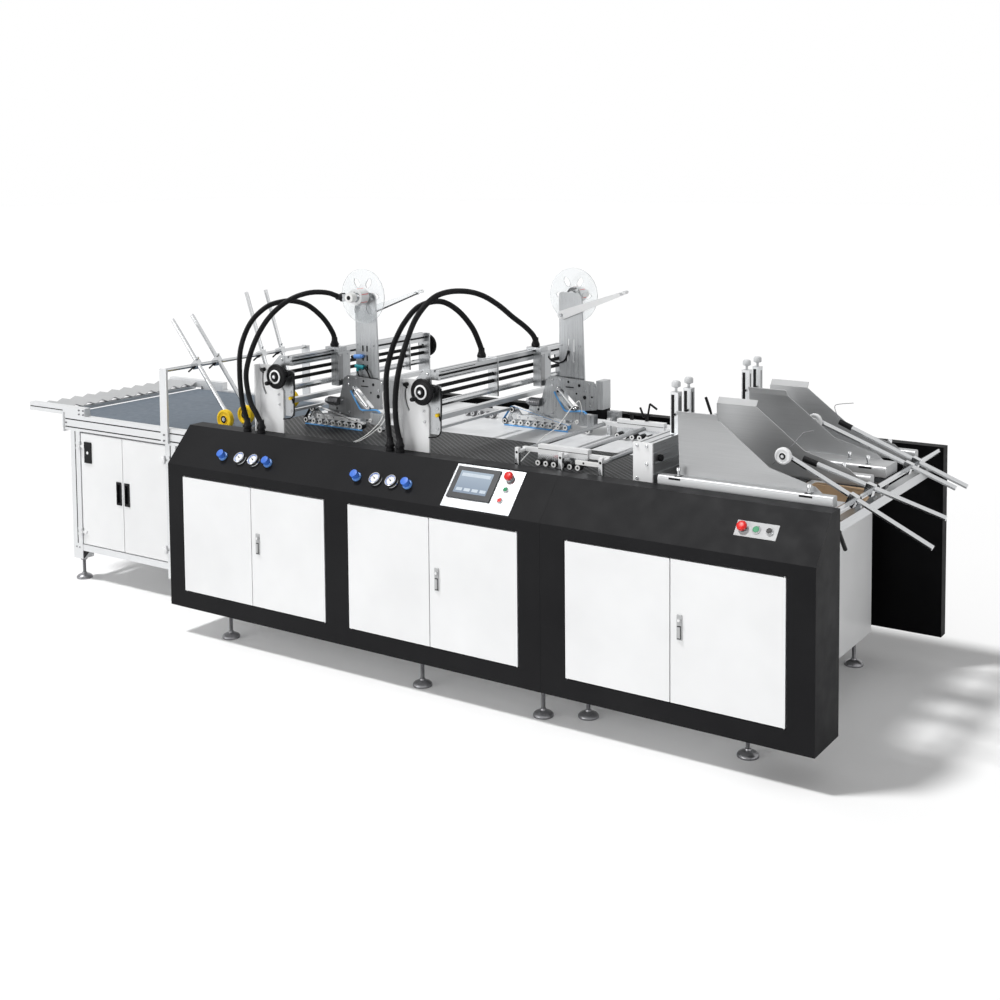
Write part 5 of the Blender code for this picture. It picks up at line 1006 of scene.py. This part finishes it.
def head_fittings(number, x0, y):
    plate, bolts = head_rollers(number, x0, y)
    face = y + 0.02
    bolts += [screw(x0 + x, face, z, FRONT, 0.005) for x, z in
              ((0.7, 1.236), (0.745, 1.236), (0.905, 1.226), (0.885, 1.19), (0.7, 1.205), (0.655, 1.125),
               (0.605, 1.105), (0.91, 1.12), (0.64, 1.06), (0.7, 1.07), (0.785, 1.075))]
    chrome(f"head_screws_{number}", bolts)
    piece(f"roller_cover_{number}", [plate], SATIN, slot="steel", bevel=0.0006)
    # Holes in the head plate are black discs and a black strip on its face: painted shade in the openings
    holes = [disc(x0 + x, face, z, FRONT, r) for x, z, r in
             ((0.79, 1.228, 0.006), (0.85, 1.215, 0.0075), (0.88, 1.16, 0.0095), (0.835, 1.175, 0.005),
              (0.73, 1.178, 0.0065), (0.92, 1.165, 0.005), (0.62, 1.08, 0.006))]
    holes.append(box(x0 + 0.775, x0 + 0.82, face - 0.0004, face, 1.2, 1.2055))
    motor = [rod((x0 + 0.578, y + 0.008, 1.118), (x0 + 0.64, y + 0.008, 1.118), 0.019, 24, 0.002),
             rod((x0 + 0.56, y + 0.008, 1.118), (x0 + 0.58, y + 0.008, 1.118), 0.012, 20, 0.002)]
    for i in range(5):
        motor.append(rod((x0 + 0.586 + i * 0.011, y + 0.008, 1.118),
                         (x0 + 0.59 + i * 0.011, y + 0.008, 1.118), 0.0215, 24, 0.0008))
    dark_steel(f"drive_motor_{number}", motor)
    cylinder = [rod((x0 + 0.752, y + 0.009, 1.176), (x0 + 0.822, y + 0.009, 1.108), 0.0085, 20, 0.001),
                rod((x0 + 0.738, y + 0.009, 1.19), (x0 + 0.752, y + 0.009, 1.176), 0.0035, 12),
                rod((x0 + 0.735, y + 0.006, 1.193), (x0 + 0.735, face, 1.193), 0.007, 16, 0.001),
                rod((x0 + 0.828, y + 0.006, 1.102), (x0 + 0.828, face, 1.102), 0.008, 16, 0.001)]
    chrome(f"air_cylinder_{number}", cylinder)
    blue = tube(((x0 + 0.712, face - 0.003, 1.176), (x0 + 0.718, face - 0.003, 1.164),
                 (x0 + 0.756, face - 0.003, 1.108),
                 (x0 + 0.777, face - 0.003, 1.087), (x0 + 0.83, face - 0.003, 1.09),
                 (x0 + 0.879, face - 0.003, 1.092),
                 (x0 + 0.912, face - 0.003, 1.06), (x0 + 0.918, face - 0.003, 1.052)), 0.0042, 10, 6)
    piece(f"head_tape_{number}", [blue], BLUE_BELT, slot="knob_blue")
    hoses = [tube(route, 0.0022, 8, 8) for route in AIR_HOSES[number]]
    piece(f"air_hoses_{number}", hoses, DIAL, slot="white_sheet")
    trail_x, trail_z = x0 + 0.915, 1.008
    wheel = [disc(trail_x, y - 0.013, trail_z, FRONT, 0.0125, 0.006, 0.004),
             disc(x0 + 0.859, y - 0.015, 1.048, FRONT, 0.009, 0.0045, 0.005)]
    piece(f"trailing_rings_{number}", wheel, DIAL, slot="white_sheet")
    # The trailing wheel's bore is a black disc: painted shade in the hole
    holes.append(disc(trail_x, y - 0.013, trail_z, FRONT, 0.005, 0.0, 0.003))
    black(f"head_hole_shade_{number}", holes)


def arm_fittings(number, x0, arm_y):
    """Screws, air fittings and tubes on the arm plate and on the carriage behind it."""
    heads = [screw(x0 + x, arm_y, z, FRONT, 0.005) for x,
             z in ((0.735, 1.225), (0.835, 1.225), (0.737, 1.4), (0.838, 1.4))]
    chrome(f"arm_screws_{number}", heads)
    if number == 1:
        blue = [rod((0.724, arm_y - 0.011, 1.342), (0.77, arm_y - 0.011, 1.345), 0.0105, 20, 0.002),
                rod((0.77, arm_y - 0.011, 1.345), (0.778, arm_y - 0.011, 1.3455), 0.0075, 16, 0.001)]
        teal = [rod((0.73, arm_y - 0.011, 1.296), (0.782, arm_y - 0.011, 1.292), 0.0095, 20, 0.002),
                rod((0.745, arm_y - 0.011, 1.292), (0.742, arm_y - 0.011, 1.272), 0.0075, 16, 0.001)]
        piece("blue_fitting", blue, LIGHT_BLUE, slot="knob_blue")
        piece("teal_fitting", teal, TEAL, slot="knob_blue")
        dark = [rod((0.706, arm_y - 0.011, 1.338), (0.724, arm_y - 0.011, 1.341), 0.008, 16, 0.001),
                tube(((0.782, arm_y - 0.011, 1.291), (0.79, arm_y - 0.011, 1.288),
                      (0.806, arm_y - 0.012, 1.272),
                      (0.82, arm_y - 0.012, 1.245), (0.826, arm_y - 0.01, 1.222),
                      (0.827, arm_y - 0.01, 1.215)), 0.004, 10, 6),
                tube(((0.745, arm_y - 0.014, 1.272), (0.748, arm_y - 0.015, 1.262),
                      (0.76, arm_y - 0.015, 1.245),
                      (0.776, arm_y - 0.013, 1.232), (0.79, arm_y - 0.01, 1.222),
                      (0.794, arm_y - 0.01, 1.216)), 0.0032, 10, 6)]
        dark += [box(x - 0.0045, x + 0.0045, arm_y - 0.0004, arm_y + 0.0002, z - 0.014, z + 0.014)
                 for x in (0.769, 0.795) for z in (1.291, 1.337, 1.383)]
    else:
        dark = [tube(((1.554, arm_y - 0.041, 1.35), (1.554, arm_y - 0.043, 1.341),
                      (1.57, arm_y - 0.03, 1.322),
                      (1.599, arm_y - 0.014, 1.315), (1.626, arm_y - 0.008, 1.334),
                      (1.639, arm_y - 0.007, 1.366),
                      (1.64, arm_y - 0.007, 1.376)), 0.004, 10, 6)]
        dark.append(box(1.743, 1.826, 1.085, 1.115, 1.052, 1.112))
        piece("sensor_block", [box(1.8262, 1.891, 1.085, 1.115, 1.03, 1.096)], STEEL, slot="steel",
              bevel=0.0012)
    black(f"arm_tubes_{number}", dark)
    edge = box(x0 + 0.646, x0 + 0.6466, arm_y - 0.038, arm_y - 0.005, 1.215, 1.35)
    bolts = [screw(x0 + 0.6462, arm_y + dy, z, RIGHT, 0.0042) for dy in (-0.03, 0.036) for z in (1.225,
                                                                                                 1.345)]
    piece(f"carriage_plate_{number}", [edge], PLATE_STEEL, slot="steel", bevel=0.0001)
    chrome(f"carriage_screws_{number}", bolts)


def reel_hub(number, x0, arm_y):
    """White sleeve with red stripes over the clear hub, and the arm's dark edge rod."""
    side = -1 if number == 1 else 1
    face = arm_y if side < 0 else arm_y + 0.01
    root = face + side * 0.02
    centre = (x0 + 0.79, root, 1.64)
    matrix = along(centre, (centre[0], root + side, centre[2]))
    length = 0.0545
    sleeve = turned(((0.0384, 0.0), (0.0396, 0.0), (0.0396, length), (0.0384, length)), 40, matrix)
    cap = turned(((0.0255, length - 0.0002), (0.0396, length - 0.0002), (0.0396, length + 0.0022),
                  (0.0255, length + 0.0022)), 40, matrix)
    piece(f"reel_sleeve_{number}", [sleeve, cap], WHITE, body=f"tape_reel_{number}", slot="white_sheet")
    stripes = []
    for i in range(6):
        stripe = box(0.0393, 0.0401, -0.0016, 0.0016, 0.004, length - 0.002)
        stripes.append(shaped(stripe, matrix @ Matrix.Rotation(math.radians(20 + 60 * i), 4, "Z")))
    piece(f"reel_stripes_{number}", stripes, RED_PLASTIC, body=f"tape_reel_{number}", slot="black_plastic")
    outlines = []
    for i in range(6):
        spin = matrix @ Matrix.Rotation(math.pi / 3 * i, 4, "Z")
        outlines.append(turned(((0.0148, -0.001), (0.0162, -0.001), (0.0162, 0.0006), (0.0148, 0.0006)), 24,
                               spin @ Matrix.Translation((0.072, 0, -0.0008)) @ Matrix.Diagonal((1.7, 1.0,
                                                                                                 1.0, 1.0))))
    outlines.append(turned(((0.13, -0.0006), (0.1318, -0.0006), (0.1318, 0.0006), (0.13, 0.0006)), 64,
                           matrix))
    piece(f"reel_rims_{number}", outlines, CLEAR, body=f"tape_reel_{number}", slot="clear")
    hub = [disc(x0 + 0.79, face + side * 0.1265, 1.64, (0, side, 0), 0.0105, 0.0, 0.0012)]
    black(f"reel_axle_end_{number}", hub)
    if number == 1:
        edge = rod((0.762, arm_y + 0.019, 1.533), (1.096, arm_y + 0.019, 1.665), 0.0034, 12)
        black("tension_edge", [edge], body="tension_arm_1")


def feeder_fittings():
    heads = [screw(x, 0.24, z, FRONT, 0.0065, 0.005) for x,
             z in ((2.444, 1.143), (2.487, 1.143), (2.487, 1.071), (2.444, 1.01))]
    for x, y in ((2.615, 0.266), (3.157, 0.266), (2.64, 0.68), (3.14, 0.68), (3.081, 0.905), (3.172, 0.87),
                 (2.64, 1.24), (3.14, 1.24)):
        heads.append(turned(((0, 0), (0.01, 0), (0.01, 0.006), (0.0062, 0.0075), (0.0062, 0.018),
                             (0.0088, 0.0195), (0.0088, 0.033), (0.0076, 0.0345), (0, 0.0345)), 14,
                            Matrix.Translation((x, y, 1.034))))
    chrome("feeder_screws", heads)
    dark = [box(x0, x1, y - 0.0006, y + 0.0002, 1.019, 1.027) for x0, x1, y in
            ((2.579, 2.63, 0.25), (3.123, 3.176, 0.25), (3.141, 3.195, 0.846))]
    dark += [box(x0, x1, 0.2545, 0.2815, 1.0338, 1.0344) for x0, x1 in ((2.6, 2.63), (3.142, 3.172))]
    for y in (0.488, 0.605, 1.195, 1.315):
        dark.append(box(2.479, 2.493, y - 0.0186, y - 0.0178, 1.158, 1.318))
        dark.append(box(2.5098, 2.5106, y - 0.004, y + 0.004, 1.166, 1.312))
        dark.append(rod((2.492, y - 0.018, 1.236), (2.492, y - 0.033, 1.236), 0.0055, 14, 0.001))
    dark.append(rod((2.429, 0.9, 1.241), (2.452, 0.9, 1.178), 0.0065, 12, 0.002))
    dark.append(rod((2.451, 0.9, 1.185), (2.458, 0.9, 1.157), 0.005, 12, 0.001))
    dark.append(rod((2.5108, 0.3, 1.09), (2.526, 0.3, 1.09), 0.014, 20, 0.002))
    dark += [rod((1.985, 1.0, 1.111), (2.103, 1.0, 1.111), 0.0055, 16, 0.001),
             rod((2.051, 0.998, 1.145), (2.073, 0.992, 1.102), 0.005, 12, 0.001),
             rod((2.09, 1.0, 1.111), (2.101, 0.998, 1.166), 0.0045, 12, 0.001),
             rod((2.101, 0.998, 1.166), (2.139, 0.996, 1.144), 0.005, 12, 0.001),
             box(2.0, 2.012, 0.994, 1.006, 1.082, 1.112), box(2.078, 2.09, 0.994, 1.006, 1.082, 1.112)]
    dark += [rod((3.244, 0.286, 0.896), (3.276, 0.286, 0.896), 0.006, 14, 0.001),
             rod((3.27, 0.274, 0.904), (3.27, 0.348, 0.815), 0.0085, 14, 0.003)]
    black("feeder_levers", dark)
    wires = [tube(((2.952, 0.404, 1.094), (2.956, 0.404, 1.0975), (3.0104, 0.404, 1.15),
                   (3.074, 0.404, 1.226),
                   (3.086, 0.404, 1.233), (3.113, 0.404, 1.2415), (3.118, 0.404, 1.242)), 0.0016, 8, 6),
             tube(((2.944, 1.16, 1.142), (2.942, 1.16, 1.145), (2.93, 1.16, 1.172), (2.921, 1.16, 1.202),
                   (2.935, 1.16, 1.215), (3.0, 1.16, 1.2265), (3.005, 1.16, 1.227)), 0.0016, 8, 6)]
    dark_steel("stop_wires", wires)
    sleeves = [rod((3.002, 0.6, 1.0869), (3.0603, 0.6, 1.0698), 0.0125, 20, 0.001),
               rod((2.9431, 1.16, 1.1395), (2.9995, 1.16, 1.117), 0.0125, 20, 0.001),
               disc(3.272, 0.47, 0.985, FRONT, 0.017, 0.0102, 0.014),
               disc(3.272, 0.68, 0.985, FRONT, 0.017, 0.0102, 0.014)]
    piece("rod_sleeves", sleeves, RUBBER, slot="black_plastic")


def register_fittings():
    rings, dark = [], []
    for y in (0.276, 0.961):
        for i in range(6):
            x = 1.9495 + i * 0.039
            rings.append(disc(x, y + 0.0003, 1.0095, FRONT, 0.0115, 0.0052, 0.0028))
            dark.append(disc(x, y + 0.0003, 1.0095, FRONT, 0.0048, 0.0, 0.0018, 16))
    rings.append(box(2.149, 2.2612, 0.25, 0.26, 1.03, 1.047))
    piece("register_rings", rings, DIAL, slot="white_sheet")
    # The hole in the small plate and the three bolt holes in the crossbeam's end plate are black discs:
    # painted shade in the holes
    dark.append(disc(2.188, 0.25, 1.0385, FRONT, 0.0045))
    for x in (1.862, 2.078, 2.27):
        dark.append(disc(x, 0.246, 1.05, FRONT, 0.0058))
    for y in (0.2993, 0.9843):
        dark.append(box(1.937, 2.178, y, y + 0.0009, 1.064, 1.066))
    black("register_centres_and_hole_shade", dark)


def rear_rollers():
    """Small roller row on the deck behind the first taping head."""
    rollers, plate = [], []
    for i in range(5):
        x = 0.996 + i * 0.039
        rollers.append(rod((x, 1.1, 1.006), (x, 1.128, 1.006), 0.014, 20, 0.001))
        plate.append(disc(x, 1.1, 1.006, FRONT, 0.0105, 0.005, 0.0025))
    plate += [box(1.024, 1.175, 1.128, 1.132, 1.006, 1.037), box(0.985, 1.16, 1.1276, 1.1324, 0.996, 1.008),
              box(1.09, 1.104, 1.128, 1.133, 0.9903, 1.01)]
    piece("rear_roller_plate", plate, SATIN, slot="steel")
    dark_steel("rear_rollers", rollers)
    wedge = prism(((1.096, 1.036), (1.14, 1.036), (1.118, 1.078)), "Y", 1.1284, 1.1316)
    black("rear_roller_bracket", [wedge])


table_fittings()
press_clamp_levers()
for (number, x0), head_y in zip(GANTRIES, HEAD_Y):
    bracket_fittings(number, x0)
    head_fittings(number, x0, head_y)
    arm_fittings(number, x0, head_y + 0.045)
    reel_hub(number, x0, head_y + 0.045)
feeder_fittings()
register_fittings()
rear_rollers()


# Stage

FLOOR_LIFT = 0.03
WORLD_LIGHT = 0.34
LIGHTS = (("left_key", (0.38, 0.3, -1.0), 9.0, 2.3), ("front_fill", (0.4, 0.85, -0.12), 30.0, 0.88),
          ("right_fill", (-1.0, 0.1, -0.1), 40.0, 0.4))


def seen_ray(tree):
    """1 for camera, glossy and transmitted rays, 0 for the diffuse rays that light the machine."""
    path = tree.nodes.new("ShaderNodeLightPath")
    total = path.outputs["Is Camera Ray"]
    for name in ("Is Glossy Ray", "Is Transmission Ray"):
        node = tree.nodes.new("ShaderNodeMath")
        node.operation = "MAXIMUM"
        tree.links.new(total, node.inputs[0])
        tree.links.new(path.outputs[name], node.inputs[1])
        total = node.outputs["Value"]
    return total


def white_floor():
    """Matte floor that shows pure white away from the machine and keeps its soft shadow."""
    m = Nodes("studio_floor")
    m.set(Base_Color=m.mix(m.ramp(m.noise(0.3), 0.0, 1.0), (0.93, 0.93, 0.93), (0.95, 0.95, 0.95)),
          Roughness=0.9)
    glow = m.add("ShaderNodeEmission")
    glow.inputs["Color"].default_value = (1.0, 1.0, 1.0, 1.0)
    both = m.add("ShaderNodeAddShader")
    m.link(m.math("MULTIPLY", seen_ray(m.tree), FLOOR_LIFT), glow.inputs["Strength"])
    m.link(m.shader.outputs["BSDF"], both.inputs[0])
    m.link(glow.outputs["Emission"], both.inputs[1])
    output = [n for n in m.tree.nodes if n.type == "OUTPUT_MATERIAL"][0]
    m.link(both.outputs["Shader"], output.inputs["Surface"])
    return m.material


def make_world():
    """White for the camera, a softer white for the light that falls on the machine."""
    world = bpy.data.worlds.new("studio")
    bpy.context.scene.world = world
    world.use_nodes = True
    tree = world.node_tree
    background = tree.nodes["Background"]
    background.inputs["Color"].default_value = (1.0, 1.0, 1.0, 1.0)
    strength = tree.nodes.new("ShaderNodeMapRange")
    strength.inputs["To Min"].default_value = WORLD_LIGHT
    strength.inputs["To Max"].default_value = 1.0
    tree.links.new(seen_ray(tree), strength.inputs["Value"])
    tree.links.new(strength.outputs["Result"], background.inputs["Strength"])


def make_stage():
    mesh = bpy.data.meshes.new("floor")
    shape = bmesh.new()
    bmesh.ops.create_grid(shape, x_segments=1, y_segments=1, size=60.0)
    shape.to_mesh(mesh)
    shape.free()
    floor = bpy.data.objects.new("floor", mesh)
    bpy.context.scene.collection.objects.link(floor)
    mesh.materials.append(white_floor())
    make_world()
    for name, beam, spread, power in LIGHTS:
        data = bpy.data.lights.new(name, "SUN")
        data.angle = math.radians(spread)
        data.energy = power
        lamp = bpy.data.objects.new(name, data)
        bpy.context.scene.collection.objects.link(lamp)
        lamp.location = at(1.5, 0.8, 4.0)
        lamp.rotation_euler = Vector(beam).to_track_quat("-Z", "Y").to_euler()
    bpy.context.scene.view_settings.view_transform = "Standard"


make_stage()
